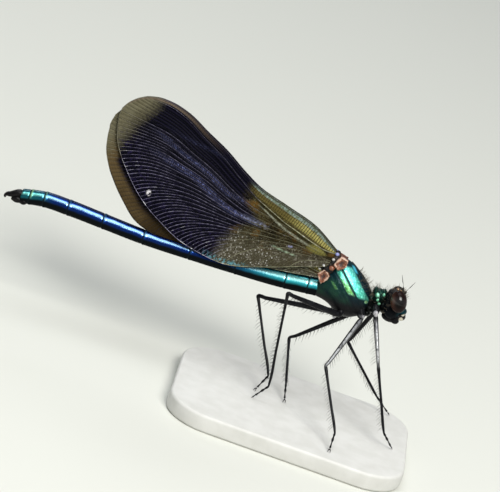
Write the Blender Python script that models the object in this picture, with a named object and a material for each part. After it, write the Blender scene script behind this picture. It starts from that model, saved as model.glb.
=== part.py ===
# A male demoiselle damselfly, life size, standing with its wings closed on a flat base.
# The animal is modelled straight in a body frame: x towards the head, y to its left, z to its back.
# One empty then tips that frame into the standing pose, and every node of the animal hangs on it.
# The driving sizes are millimetres; MM turns them into metres.

import math

import bmesh
import bpy
from mathutils import Matrix, Vector

MM = 0.001
GAP = 0.3              # kept between touching nodes
WELD = 1e-6            # metres, for closing a converted tube's caps

# Standing pose: where the body frame sits over the base
BASE_LENGTH = 27.5
BASE_WIDTH = 21.5
BASE_THICK = 2.0
BASE_CORNER = 5.0      # radius of its corners
BASE_RIM = 0.35        # radius of its rounded rim
BASE_CENTRE = (12.565, 0.0)
BODY_ORIGIN = (13.565, 4.1, 16.16)
BODY_PITCH = 3.0       # degrees, head up
BODY_LEAN = 12.0       # degrees, wings away from the right side
FOOT_LEVEL = BASE_THICK + GAP

# Abdomen: ten segments, each with a length, a rise from the body's line, and a radius
SEGMENT_LENGTHS = (0.85, 2.6, 5.8, 5.4, 5.5, 4.9, 4.2, 2.85, 1.65, 1.1)
SEGMENT_RISES = (-5.0, -4.4, -1.7, 0.2, 1.6, 4.7, 4.6, 1.8, -7.6, -10.0)
SEGMENT_RADII = (1.02, 1.01, 0.97, 0.84, 0.79, 0.80, 0.83, 0.88, 0.88, 0.86)
ABDOMEN_START = (-3.35, -0.59)
RING_SWELL = 1.06      # a segment is a little wider at its ends

# Wings: the front edge and the trailing edges, as distances along and across the wing's own axis
WING_LENGTH = 28.8
FRONT_EDGE = ((0.0, -0.35), (3.4, -1.08), (7.4, -0.93), (11.3, -0.74), (13.8, -1.12), (16.6, -1.72),
              (19.6, -2.07), (22.6, -2.45), (24.9, -2.25), (26.7, -1.60), (27.8, -0.75), (28.5, 0.25),
              (28.8, 1.0))
FORE_TRAILING = ((0.0, 1.4), (1.0, 2.3), (2.2, 3.2), (5.0, 5.5), (8.8, 8.2), (12.6, 9.2), (15.2, 9.4),
                 (17.7, 9.1), (19.8, 8.7), (21.9, 8.0), (24.1, 6.9), (25.9, 5.8), (27.5, 4.35),
                 (28.4, 2.95), (28.8, 2.1))
HIND_TRAILING = ((0.0, 0.5), (2.0, 1.25), (5.0, 2.6), (8.8, 4.6), (12.6, 6.35), (15.2, 7.45), (17.7, 8.5),
                 (19.8, 8.9), (21.9, 8.3), (24.1, 7.3), (25.9, 6.2), (27.5, 4.65), (28.4, 3.1),
                 (28.8, 2.15))
MEMBRANE_HALF = 0.22
VEIN_HALF = 0.28
WING_STATIONS = 20
WING_ROWS = 17
FORE_ROOT = (-2.27, 3.55)
HIND_ROOT = (-3.05, 1.05)
FORE_AXIS = 21.0       # degrees that the wing's axis rises from the body's line
HIND_AXIS = 24.0
HIND_SCALE = 1.01      # the hind wing's size against the fore wing's
HIND_OUTBOARD = (0.45, 1.55, 0.45)      # from the middle plane: high up, at the hinge, at the abdomen
FORE_OUTBOARD = (1.33, 2.43, 1.68)
FOLD_HEIGHTS = (6.0, 1.0)       # the wings spread from the first height down to the second
HINGE_SPREAD = (1.5, 8.0)       # lengths along a wing between which the hinge's spread fades

# Thorax: stations along x with the back's height, the belly's height and the half width
THORAX_STATIONS = ((2.90, 0.60, -1.50, 0.78), (2.50, 1.15, -2.10, 1.24), (1.75, 1.90, -2.60, 1.58),
                   (0.90, 2.55, -2.85, 1.80), (0.10, 3.10, -2.85, 1.90), (-0.60, 3.42, -2.55, 1.92),
                   (-1.20, 3.42, -2.10, 1.86), (-1.80, 3.10, -1.82, 1.72), (-2.30, 2.60, -1.68, 1.52),
                   (-2.80, 1.90, -1.60, 1.26), (-3.20, 1.20, -1.52, 0.98))
THORAX_SIDES = 18
THORAX_SQUARE = 2.6    # power of the section: 2 is an ellipse, more is boxier
TOP_SLANT = 1.4        # the back slopes, so its height grows by this for each unit of clearance

# Legs: hip in the body frame; knee, ankle and toe in millimetres over the base, from under the body
HIPS = {
    "front_right": (4.0, -1.25, -1.45),
    "middle_right": (2.7, -1.3, -2.4),
    "hind_right": (0.2, -1.35, -2.75),
    "front_left": (4.0, 1.25, -1.45),
    "middle_left": (2.2, 1.3, -1.95),
    "hind_left": (0.2, 1.35, -2.8),
}
HIP_ROOTS = {"front": (3.8, 0.55, -0.6), "middle": (2.2, 0.7, -1.4), "hind": (0.2, 0.7, -1.8)}
LEGS = {
    "front_right": ((6.3, -4.0, 8.0), (9.4, -6.0, 1.5), (10.7, -5.5, 0.25)),
    "middle_right": ((0.6, -7.1, 7.0), (3.9, -11.0, 1.5), (3.9, -12.6, 0.25)),
    "hind_right": ((-6.1, -5.5, 13.0), (-4.5, -5.4, 1.9), (-5.6, -4.9, 0.25)),
    "front_left": ((2.6, 3.0, 7.1), (8.0, 4.2, 1.6), (9.9, 4.4, 0.25)),
    "middle_left": ((-3.9, 2.1, 5.4), (-2.6, -1.3, 1.4), (-2.2, -2.8, 0.25)),
    "hind_left": ((-8.9, 1.9, 9.0), (-4.8, -1.7, 1.7), (-5.6, -2.4, 0.25)),
}
COXA_RADII = (0.50, 0.42)
FEMUR_RADII = (0.36, 0.38, 0.27)
TIBIA_RADII = (0.26, 0.25, 0.25)
TARSUS_RADII = (0.25, 0.25, 0.20)

# Colours and finishes, as base colour, roughness, metallic
FINISHES = {
    "green_metal": ((0.01, 0.32, 0.22), 0.30, 0.85),
    "blue_metal": ((0.01, 0.10, 0.35), 0.25, 0.85),
    "teal_metal": ((0.01, 0.22, 0.28), 0.30, 0.85),
    "black_shell": ((0.01, 0.012, 0.02), 0.45, 0.1),
    "dark_eye": ((0.05, 0.012, 0.008), 0.15, 0.0),
    "pale_mouth": ((0.20, 0.17, 0.12), 0.5, 0.0),
    "dark_wing": ((0.015, 0.02, 0.09), 0.35, 0.3),
    "brown_wing": ((0.10, 0.07, 0.03), 0.4, 0.1),
    "rust_plate": ((0.45, 0.14, 0.05), 0.5, 0.0),
    "stand_grey": ((0.62, 0.62, 0.60), 0.6, 0.0),
}


def clear_scene():
    for old in list(bpy.data.objects):
        bpy.data.objects.remove(old, do_unlink=True)


def new_collection(name):
    group = bpy.data.collections.new(name)
    bpy.context.scene.collection.children.link(group)
    return group


def finish(name):
    # One Principled material for each finish, made the first time it is asked for
    if name in bpy.data.materials:
        return bpy.data.materials[name]
    colour, roughness, metallic = FINISHES[name]
    material = bpy.data.materials.new(name)
    material.use_nodes = True
    shader = material.node_tree.nodes["Principled BSDF"]
    shader.inputs["Base Color"].default_value = (*colour, 1.0)
    shader.inputs["Roughness"].default_value = roughness
    shader.inputs["Metallic"].default_value = metallic
    return material


def mesh_object(name, bm):
    mesh = bpy.data.meshes.new(name)
    bm.to_mesh(mesh)
    bm.free()
    piece = bpy.data.objects.new(name, mesh)
    animal.objects.link(piece)
    return piece


def ellipsoid(name, centre, radii, around=16, up=10, tilt=0.0, swell=0.0):
    # A sphere stretched along the body's axes; tilt turns it in degrees about y
    # Every maker takes a swell, which makes the same shape bigger all round, to cut a neighbour clear
    bm = bmesh.new()
    bmesh.ops.create_uvsphere(bm, u_segments=around, v_segments=up, radius=1.0)
    place = (Matrix.Translation(Vector(centre) * MM) @ Matrix.Rotation(math.radians(tilt), 4, "Y")
             @ Matrix.Diagonal((*[(r + swell) * MM for r in radii], 1.0)))
    bmesh.ops.transform(bm, matrix=place, verts=bm.verts)
    return mesh_object(name, bm)


def tube(name, points, radii, resolution=2, swell=0.0):
    # A tapered round rod through the points, made as a curve and then turned into a closed mesh
    points = [Vector(place) for place in points]
    points[0] = points[0] + (points[0] - points[1]).normalized() * swell
    points[-1] = points[-1] + (points[-1] - points[-2]).normalized() * swell
    curve = bpy.data.curves.new(name, "CURVE")
    curve.dimensions = "3D"
    curve.bevel_depth = MM
    curve.bevel_resolution = resolution
    curve.use_fill_caps = True
    spline = curve.splines.new("POLY")
    spline.points.add(len(points) - 1)
    for knot, place, radius in zip(spline.points, points, radii):
        knot.co = (*(place * MM), 1.0)
        knot.radius = radius + swell
    rod = bpy.data.objects.new(name + "_curve", curve)
    animal.objects.link(rod)
    mesh = bpy.data.meshes.new_from_object(rod.evaluated_get(bpy.context.evaluated_depsgraph_get()))
    bpy.data.objects.remove(rod, do_unlink=True)
    bm = bmesh.new()
    bm.from_mesh(mesh)
    bmesh.ops.remove_doubles(bm, verts=bm.verts, dist=WELD)
    bpy.data.meshes.remove(mesh)
    return mesh_object(name, bm)


def keep_largest(piece):
    # Drops every closed surface of the piece except the one with the most volume
    bm = bmesh.new()
    bm.from_mesh(piece.data)
    bmesh.ops.triangulate(bm, faces=bm.faces)
    left = set(bm.verts)
    shells = []
    while left:
        seed = left.pop()
        shell, front = {seed}, [seed]
        while front:
            for edge in front.pop().link_edges:
                for other in edge.verts:
                    if other in left:
                        left.remove(other)
                        shell.add(other)
                        front.append(other)
        shells.append(shell)
    sizes = []
    for shell in shells:
        faces = {face for vert in shell for face in vert.link_faces}
        sizes.append(sum(f.verts[0].co.dot(f.verts[1].co.cross(f.verts[2].co)) for f in faces))
    best = shells[sizes.index(max(sizes))]
    bmesh.ops.delete(bm, geom=[v for v in bm.verts if v not in best], context="VERTS")
    bm.to_mesh(piece.data)
    bm.free()


def boolean(piece, operation, cutters):
    # One exact Boolean of the piece with a collection of closed meshes, which are then removed
    group = new_collection("cutters_" + piece.name)
    for cutter in cutters:
        for owner in list(cutter.users_collection):
            owner.objects.unlink(cutter)
        group.objects.link(cutter)
        cutter.hide_render = True
        cutter.display_type = "WIRE"
    step = piece.modifiers.new(operation.lower(), "BOOLEAN")
    step.operation = operation
    step.solver = "EXACT"
    step.operand_type = "COLLECTION"
    step.collection = group
    result = bpy.data.meshes.new_from_object(piece.evaluated_get(bpy.context.evaluated_depsgraph_get()))
    piece.modifiers.clear()
    piece.data = result
    for cutter in cutters:
        bpy.data.objects.remove(cutter, do_unlink=True)
    bpy.data.collections.remove(group)
    keep_largest(piece)
    return piece


def join(name, pieces):
    piece = boolean(pieces[0], "UNION", pieces[1:])
    piece.name = name
    return piece


def clear_of(piece, *clearances):
    return boolean(piece, "DIFFERENCE", clearances)


def node(piece, material):
    # Finishes a node: its material, smooth shading and its place under the pose
    piece.data.materials.clear()
    piece.data.materials.append(finish(material))
    piece.data.shade_smooth()
    piece.data.set_sharp_from_angle(angle=math.radians(40))
    piece.parent = pose
    return piece


def smooth_line(points, value):
    # Reads a smooth curve through (distance, height) points at one distance
    last = len(points) - 2
    index = max(i for i in range(last + 1) if i == 0 or points[i][0] <= value)
    knots = [points[max(0, min(len(points) - 1, index + k))] for k in (-1, 0, 1, 2)]
    (x0, y0), (x1, y1), (x2, y2), (x3, y3) = knots
    span = x2 - x1
    slope_in = (y2 - y0) / (x2 - x0)
    slope_out = (y3 - y1) / (x3 - x1)
    t = (value - x1) / span
    return ((2 * t ** 3 - 3 * t ** 2 + 1) * y1 + (t ** 3 - 2 * t ** 2 + t) * span * slope_in
            + (3 * t ** 2 - 2 * t ** 3) * y2 + (t ** 3 - t ** 2) * span * slope_out)


def skin(rings):
    # Joins closed rings of equal count into one closed surface with fan caps
    bm = bmesh.new()
    rows = [[bm.verts.new(Vector(place) * MM) for place in ring] for ring in rings]
    count = len(rows[0])
    for near, far in zip(rows, rows[1:]):
        for k in range(count):
            bm.faces.new((near[k], near[(k + 1) % count], far[(k + 1) % count], far[k]))
    bm.faces.new(tuple(reversed(rows[0])))
    bm.faces.new(tuple(rows[-1]))
    bmesh.ops.recalc_face_normals(bm, faces=bm.faces)
    return bm


def make_thorax(swell=0.0):
    # The skewed box of the wing-bearing thorax: boxy sections whose back runs up to the wing roots
    rings = []
    ends = {0: swell, len(THORAX_STATIONS) - 1: -swell}
    for index, (x, top, bottom, half) in enumerate(THORAX_STATIONS):
        x += ends.get(index, 0.0)
        top, bottom, half = top + swell * TOP_SLANT, bottom - swell, half + swell
        ring = []
        for k in range(THORAX_SIDES):
            angle = 2 * math.pi * (k + 0.5) / THORAX_SIDES
            c, s = math.cos(angle), math.sin(angle)
            y = math.copysign(abs(c) ** (2 / THORAX_SQUARE), c) * half
            lift = math.copysign(abs(s) ** (2 / THORAX_SQUARE), s)
            narrow = 1.0 - 0.28 * max(0.0, lift)
            z = (top + bottom) / 2 + lift * (top - bottom) / 2
            ring.append((x, y * narrow, z))
        rings.append(ring)
    return mesh_object("thorax", skin(rings))


def prothorax_lobes(swell=0.0):
    # The short first ring that carries the front legs: a disc with a chest, a collar and a hind lobe
    return [ellipsoid("pro_disc", (3.78, 0.0, 0.10), (0.74, 1.12, 1.05), 14, 8, swell=swell),
            ellipsoid("pro_chest", (3.74, 0.0, -0.72), (0.70, 0.82, 0.80), 12, 8, swell=swell),
            ellipsoid("pro_collar", (4.30, 0.0, 0.62), (0.42, 0.95, 0.85), 12, 8, swell=swell),
            ellipsoid("pro_lobe", (3.35, 0.0, 0.95), (0.34, 1.00, 0.62), 12, 8, swell=swell)]


def head_lobes(swell=0.0):
    # Wide and short: the capsule between the eyes, the brow, the nose, the cheeks and a thin neck
    lobes = [("capsule", (5.75, 0.0, 0.70), (1.00, 1.75, 1.15), 16, 10),
             ("brow", (6.35, 0.0, 0.35), (0.72, 1.25, 0.90), 14, 8),
             ("nose", (6.78, 0.0, -0.42), (0.62, 0.98, 0.52), 14, 8),
             ("nape", (5.12, 0.0, 0.35), (0.58, 1.55, 1.40), 14, 8),
             ("neck", (4.95, 0.0, 0.30), (0.42, 0.50, 0.50), 10, 6),
             ("middle_eyelet", (6.02, 0.0, 1.78), (0.16, 0.16, 0.16), 6, 4)]
    for side in (1, -1):
        lobes.append(("cheek", (5.70, 0.72 * side, -0.70), (0.90, 0.62, 0.85), 12, 6))
        lobes.append(("eyelet", (5.70, 0.36 * side, 1.82), (0.16, 0.16, 0.16), 6, 4))
        lobes.append(("horn_socket", (6.35, 0.80 * side, 1.28), (0.26, 0.26, 0.26), 8, 4))
    return [ellipsoid(*lobe, swell=swell) for lobe in lobes]


def make_eye(name, side, swell=0.0):
    # A bulging oval eye, long axis leaning back at the top
    return ellipsoid(name, (6.05, 2.18 * side, 0.72), (0.88, 0.84, 1.34), 18, 12, tilt=-17.0, swell=swell)


def make_labrum(swell=0.0):
    return ellipsoid("labrum", (7.00, 0.0, -1.12), (0.46, 0.78, 0.42), 14, 8, swell=swell)


def make_labium(swell=0.0):
    return ellipsoid("labium", (5.75, 0.0, -1.52), (1.05, 0.80, 0.66), 14, 8, tilt=22.0, swell=swell)


def abdomen_line():
    # Start and end of each segment along the gently bent middle line
    x, z = ABDOMEN_START
    knots = [(x, z)]
    for length, rise in zip(SEGMENT_LENGTHS, SEGMENT_RISES):
        x -= length * math.cos(math.radians(rise))
        z += length * math.sin(math.radians(rise))
        knots.append((x, z))
    return knots


def make_segment(name, knots, index):
    # One ring of the abdomen: a tube a little wider at both ends, half a gap short at each joint
    start, end = [Vector((x, 0, z)) for x, z in knots[index:index + 2]]
    along = (end - start).normalized()
    start = start + along * GAP / 2
    end = end - along * GAP / 2
    radius = SEGMENT_RADII[index]
    following = SEGMENT_RADII[min(index + 1, len(SEGMENT_RADII) - 1)]
    shares = (0.0, 0.12, 0.5, 0.88, 1.0)
    swells = (RING_SWELL - 0.03, 1.0, 0.98, 1.0, RING_SWELL)
    radii = [(radius + (following - radius) * share) * swell for share, swell in zip(shares, swells)]
    return tube(name, [start.lerp(end, share) for share in shares], radii, resolution=4)


def smooth_share(value, start, end):
    # 0 at the start, 1 at the end and a smooth ramp between
    share = max(0.0, min(1.0, (value - start) / (end - start)))
    return share * share * (3 - 2 * share)


def wing_outboard(along, height, reach):
    # Distance from the middle plane: close together high up, spread to the hinges on the thorax
    high, hinge, low = reach
    low = hinge + (low - hinge) * smooth_share(along, *HINGE_SPREAD)
    return high + (low - high) * smooth_share(height, *FOLD_HEIGHTS)


def make_wing(name, side, root, axis, scale, trailing_edge, reach, swell=0.0):
    # A thin vane: rows run along the wing as its main veins do, every other row raised on both faces
    turn = math.radians(axis)
    grid = []
    for i in range(WING_STATIONS):
        share = i / (WING_STATIONS - 1)
        along = WING_LENGTH * math.sin(share * math.pi / 2) ** 0.92
        front = smooth_line(FRONT_EDGE, along)
        back = smooth_line(trailing_edge, along)
        row = []
        for j in range(WING_ROWS):
            spread = j / (WING_ROWS - 1)
            s, c = along * scale, (front + (back - front) * spread) * scale
            s -= swell if i == 0 else 0.0
            c += swell * (2 * spread - 1)
            x = root[0] - s * math.cos(turn) - c * math.sin(turn)
            z = root[1] + s * math.sin(turn) - c * math.cos(turn)
            half = (VEIN_HALF if j % 2 == 0 else MEMBRANE_HALF) + swell
            row.append((x, wing_outboard(along, z, reach) * side, z, half))
        grid.append(row)
    bm = bmesh.new()
    faces = []
    for out in (1, -1):
        faces.append([[bm.verts.new(Vector((x, y + out * half, z)) * MM) for x, y, z, half in row]
                      for row in grid])
    for face in faces:
        for near, far in zip(face, face[1:]):
            for j in range(WING_ROWS - 1):
                a, b, c, d = near[j], near[j + 1], far[j + 1], far[j]
                bm.faces.new((a, b, c))
                bm.faces.new((a, c, d))
    outer, inner = faces
    border = [(i, 0) for i in range(WING_STATIONS)]
    border += [(WING_STATIONS - 1, j) for j in range(1, WING_ROWS)]
    border += [(i, WING_ROWS - 1) for i in range(WING_STATIONS - 2, -1, -1)]
    border += [(0, j) for j in range(WING_ROWS - 2, 0, -1)]
    for (i, j), (k, m) in zip(border, border[1:] + border[:1]):
        bm.faces.new((outer[i][j], outer[k][m], inner[k][m]))
        bm.faces.new((outer[i][j], inner[k][m], inner[i][j]))
    bmesh.ops.recalc_face_normals(bm, faces=bm.faces)
    return mesh_object(name, bm)


def make_leg(name, carrier):
    # Hip piece, thigh, shin and foot; each is cut clear of the one before it
    pose_back = pose_matrix().inverted()
    under_body = Vector((BODY_ORIGIN[0], BODY_ORIGIN[1], FOOT_LEVEL))
    hip = Vector(HIPS[name])
    root = Vector(HIP_ROOTS[name.split("_")[0]])
    root.y = math.copysign(root.y, hip.y)
    knee, ankle, toe = [pose_back @ (Vector(place) + under_body) for place in LEGS[name]]
    lengths = (("coxa_", [root, hip], COXA_RADII),
               ("femur_", [hip.lerp(knee, share) for share in (0.0, 0.35, 1.0)], FEMUR_RADII),
               ("tibia_", [knee.lerp(ankle, share) for share in (0.0, 0.5, 1.0)], TIBIA_RADII),
               ("tarsus_", [ankle, ankle.lerp(toe, 0.5), toe], TARSUS_RADII))
    before = carrier
    for title, line, radii in lengths:
        piece = clear_of(tube(title + name, line, radii), *before)
        before = [tube(title + "clearance", line, radii, swell=GAP)]
        if title == "tarsus_":
            flat_sole(piece)
        node(piece, "black_shell")
    bpy.data.objects.remove(before[0], do_unlink=True)


def flat_sole(piece):
    # Cuts the foot level, so that it stands on a small flat
    back = pose_matrix().inverted()
    point = back @ Vector((0, 0, FOOT_LEVEL))
    normal = (back.to_3x3() @ Vector((0, 0, 1))).normalized()
    bm = bmesh.new()
    bm.from_mesh(piece.data)
    bmesh.ops.bisect_plane(bm, geom=bm.verts[:] + bm.edges[:] + bm.faces[:], plane_co=point * MM,
                           plane_no=normal, clear_inner=True)
    bmesh.ops.holes_fill(bm, edges=[edge for edge in bm.edges if edge.is_boundary])
    bmesh.ops.recalc_face_normals(bm, faces=bm.faces)
    bm.to_mesh(piece.data)
    bm.free()


def pose_matrix():
    # From the body frame to the standing pose, in millimetres
    return (Matrix.Translation(Vector(BODY_ORIGIN)) @ Matrix.Rotation(math.radians(-BODY_PITCH), 4, "Y")
            @ Matrix.Rotation(math.radians(-BODY_LEAN), 4, "X"))


def make_base():
    # A flat plate with round corners and a rounded rim
    bm = bmesh.new()
    place = (Matrix.Translation(Vector((*BASE_CENTRE, BASE_THICK / 2)) * MM)
             @ Matrix.Diagonal((BASE_LENGTH * MM, BASE_WIDTH * MM, BASE_THICK * MM, 1.0)))
    bmesh.ops.create_cube(bm, size=1.0, matrix=place)
    upright = [edge for edge in bm.edges if abs(edge.verts[0].co.z - edge.verts[1].co.z) > WELD]
    bmesh.ops.bevel(bm, geom=upright, offset=BASE_CORNER * MM, segments=6, profile=0.5, affect="EDGES")
    rim = [edge for edge in bm.edges if abs(edge.verts[0].co.z - edge.verts[1].co.z) < WELD]
    bmesh.ops.bevel(bm, geom=rim, offset=BASE_RIM * MM, segments=2, profile=0.5, affect="EDGES")
    base = mesh_object("stand_base", bm)
    base.data.materials.append(finish("stand_grey"))
    base.data.shade_smooth()
    base.data.set_sharp_from_angle(angle=math.radians(40))


clear_scene()
animal = new_collection("damselfly")
pose = bpy.data.objects.new("pose", None)
animal.objects.link(pose)
tipped = pose_matrix()
pose.location = tipped.translation * MM
pose.rotation_euler = tipped.to_euler()

make_base()

# Thorax, first ring and head, each cut clear of the one behind it
node(make_thorax(), "green_metal")
node(clear_of(join("prothorax", prothorax_lobes()), make_thorax(GAP)), "green_metal")
head = clear_of(join("head", head_lobes()), *prothorax_lobes(GAP))
node(clear_of(head, make_eye("right_socket", -1, GAP), make_eye("left_socket", 1, GAP)), "black_shell")
node(make_eye("eye_left", 1), "dark_eye")
node(make_eye("eye_right", -1), "dark_eye")
node(clear_of(make_labrum(), *head_lobes(GAP)), "pale_mouth")
node(clear_of(make_labium(), make_labrum(GAP), *head_lobes(GAP)), "black_shell")

# Feelers: thick at the root, bristle thin at the tip
ANTENNAE = {"antenna_right": ((6.35, -0.80, 1.25), (6.60, -0.95, 2.0), (7.25, -1.30, 3.25)),
            "antenna_left": ((6.35, 0.80, 1.25), (6.25, 1.05, 2.1), (5.75, 1.60, 3.35))}
for feeler_name, knots in ANTENNAE.items():
    feeler = tube(feeler_name, knots, (0.25, 0.20, 0.08))
    node(clear_of(feeler, *head_lobes(GAP)), "black_shell")

# Abdomen
line = abdomen_line()
for number in range(len(SEGMENT_LENGTHS)):
    segment = make_segment("abdomen_%d" % (number + 1), line, number)
    node(segment, "blue_metal" if 1 < number < 7 else "teal_metal")

# Claspers: an upper and a lower pair behind the last ring
tail_x, tail_z = line[-1]
for side_name, side in (("left", 1), ("right", -1)):
    upper = [(tail_x - GAP / 2, 0.42 * side, tail_z + 0.50), (tail_x - 0.9, 0.66 * side, tail_z + 0.30),
             (tail_x - 1.75, 0.40 * side, tail_z - 0.45)]
    node(tube("cercus_" + side_name, upper, (0.27, 0.27, 0.15)), "black_shell")
    lower = [(tail_x - GAP / 2, 0.33 * side, tail_z - 0.42), (tail_x - 0.7, 0.36 * side, tail_z - 0.80)]
    node(tube("paraproct_" + side_name, lower, (0.27, 0.18)), "black_shell")

# Wings, and the rusty plates that hinge them to the thorax
WINGS = {"forewing": (FORE_ROOT, FORE_AXIS, 1.0, FORE_TRAILING, FORE_OUTBOARD),
         "hindwing": (HIND_ROOT, HIND_AXIS, HIND_SCALE, HIND_TRAILING, HIND_OUTBOARD)}
PLATES = {"forewing": ("sclerite_front_", (-1.35, 1.55, 3.0), (0.95, 0.50, 0.80), "dark_wing"),
          "hindwing": ("sclerite_rear_", (-2.85, 1.45, 0.85), (0.70, 0.45, 0.85), "brown_wing")}
for side_name, side in (("left", 1), ("right", -1)):
    for wing_name, shape in WINGS.items():
        plate_name, (x, y, z), radii, tint = PLATES[wing_name]
        plate = ellipsoid(plate_name + side_name, (x, y * side, z), radii, 12, 8)
        wing_room = make_wing("wing_room", side, *shape, swell=GAP)
        node(clear_of(plate, make_thorax(GAP), wing_room), "rust_plate")
        node(make_wing(wing_name + "_" + side_name, side, *shape), tint)

# Legs
for leg_name in LEGS:
    make_leg(leg_name, prothorax_lobes(GAP) if leg_name.startswith("front") else [make_thorax(GAP)])
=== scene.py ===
# A life-size male demoiselle damselfly at rest with closed wings, on a small flat display base.
# Shapes are worked out in millimetres in the animal's own frame: x to the head, y to its left, z to
# its back. Each finished piece is then tipped into the standing pose and turned to metres.

import math
import random
from functools import reduce

import bpy
import numpy as np
from mathutils import Matrix, Vector


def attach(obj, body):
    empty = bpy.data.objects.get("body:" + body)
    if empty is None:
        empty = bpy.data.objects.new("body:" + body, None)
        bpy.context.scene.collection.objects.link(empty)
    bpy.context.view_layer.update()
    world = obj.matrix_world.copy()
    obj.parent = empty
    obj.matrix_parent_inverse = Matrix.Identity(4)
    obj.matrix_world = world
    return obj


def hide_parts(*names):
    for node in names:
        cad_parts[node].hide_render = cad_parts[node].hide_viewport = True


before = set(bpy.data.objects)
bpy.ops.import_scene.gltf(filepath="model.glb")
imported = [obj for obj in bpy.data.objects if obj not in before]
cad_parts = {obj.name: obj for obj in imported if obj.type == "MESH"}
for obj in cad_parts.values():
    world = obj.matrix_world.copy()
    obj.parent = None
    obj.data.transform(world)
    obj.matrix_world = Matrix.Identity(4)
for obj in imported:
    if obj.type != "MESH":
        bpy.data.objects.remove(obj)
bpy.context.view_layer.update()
bpy.ops.object.select_all(action="DESELECT")


# Standing pose
# The body frame sits over the base with the head a little up and the wings leaning away from the
# right side, as in the photo.
MM = 0.001
BASE_TOP = 2.0
BODY_ORIGIN = Vector((13.565, 4.1, 16.16))
BODY_PITCH = 3.0
BODY_LEAN = 12.0
POSE = (Matrix.Translation(BODY_ORIGIN) @ Matrix.Rotation(math.radians(-BODY_PITCH), 4, "Y")
        @ Matrix.Rotation(math.radians(-BODY_LEAN), 4, "X"))


def settle(piece, finish, slot, *nodes, pose=POSE):
    """Coats a piece, tips it into the pose and hangs it on the frame in place of its CAD nodes."""
    piece.data.materials.append(finish.material)
    piece.data.transform(Matrix.Diagonal((MM, MM, MM, 1.0)) @ pose)
    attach(piece, "root")
    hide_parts(*nodes)


# Camera, light and floor
# A long lens looks down on the right side, rolled so that the floor runs down towards the head. A
# broad key lamp stands on the camera's side, another hangs overhead and a weak one lights the back.
PHOTO_SIZE = (500, 492)
BODY_ORIGIN_PIXEL = (345, 290)
MM_PER_PIXEL = 0.1127
LENS = 200.0
SENSOR = 36.0
CAMERA_ELEVATION = 18.0
CAMERA_TURN = -0.975
CAMERA_ROLL = 20.0

turned = (Matrix.Rotation(math.radians(CAMERA_TURN), 3, "Z")
          @ Matrix.Rotation(math.radians(90.0 - CAMERA_ELEVATION), 3, "X")
          @ Matrix.Rotation(math.radians(CAMERA_ROLL), 3, "Z"))
right, up, back = turned.col
across = (PHOTO_SIZE[0] / 2 - BODY_ORIGIN_PIXEL[0]) * MM_PER_PIXEL
above = (BODY_ORIGIN_PIXEL[1] - PHOTO_SIZE[1] / 2) * MM_PER_PIXEL
distance = LENS / SENSOR * PHOTO_SIZE[0] * MM_PER_PIXEL
bpy.ops.object.camera_add(location=(BODY_ORIGIN + right * across + up * above + back * distance) * MM,
                          rotation=turned.to_euler())
camera = bpy.context.object
camera.data.lens = LENS
camera.data.sensor_width = SENSOR
camera.data.clip_start = 0.01
bpy.context.scene.camera = camera


def lamp(name, place, size, watts, colour):
    """A square area lamp that faces the animal."""
    bpy.ops.object.light_add(type="AREA", location=place)
    light = bpy.context.object
    light.name = name
    light.data.size = size
    light.data.energy = watts
    light.data.color = colour
    light.rotation_euler = (BODY_ORIGIN * MM - light.location).to_track_quat("-Z", "Y").to_euler()


lamp("key_lamp", (0.13, -0.30, 0.33), 0.20, 2.0, (1.0, 0.98, 0.94))
lamp("overhead_lamp", (-0.05, -0.06, 0.48), 0.30, 1.0, (0.96, 0.98, 1.0))
lamp("far_side_lamp", (-0.15, 0.40, 0.32), 0.20, 0.5, (0.95, 0.98, 1.0))

world = bpy.data.worlds.new("studio")
world.use_nodes = True
world.node_tree.nodes["Background"].inputs["Color"].default_value = (0.86, 0.88, 0.90, 1.0)
world.node_tree.nodes["Background"].inputs["Strength"].default_value = 0.30
bpy.context.scene.world = world
bpy.context.scene.view_settings.view_transform = "Standard"

bpy.ops.mesh.primitive_plane_add(size=6.0)
floor = bpy.context.object
floor.name = "floor"
floor_paint = bpy.data.materials.new("floor_paper")
floor_paint.use_nodes = True
floor_shader = floor_paint.node_tree.nodes["Principled BSDF"]
floor_shader.inputs["Base Color"].default_value = (0.66, 0.67, 0.62, 1.0)
floor_shader.inputs["Roughness"].default_value = 0.9
floor.data.materials.append(floor_paint)


# Display base
# A thin plate of pale moulded resin with round corners and a soft rim. It is not in the photo: it
# holds up an animal whose long tail would tip it over.
BASE_SIZE = (27.5, 21.5, 2.0)
BASE_CENTRE = (12.565, 0.0)
BASE_CORNER = 5.0
BASE_RIM = 0.35


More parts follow.
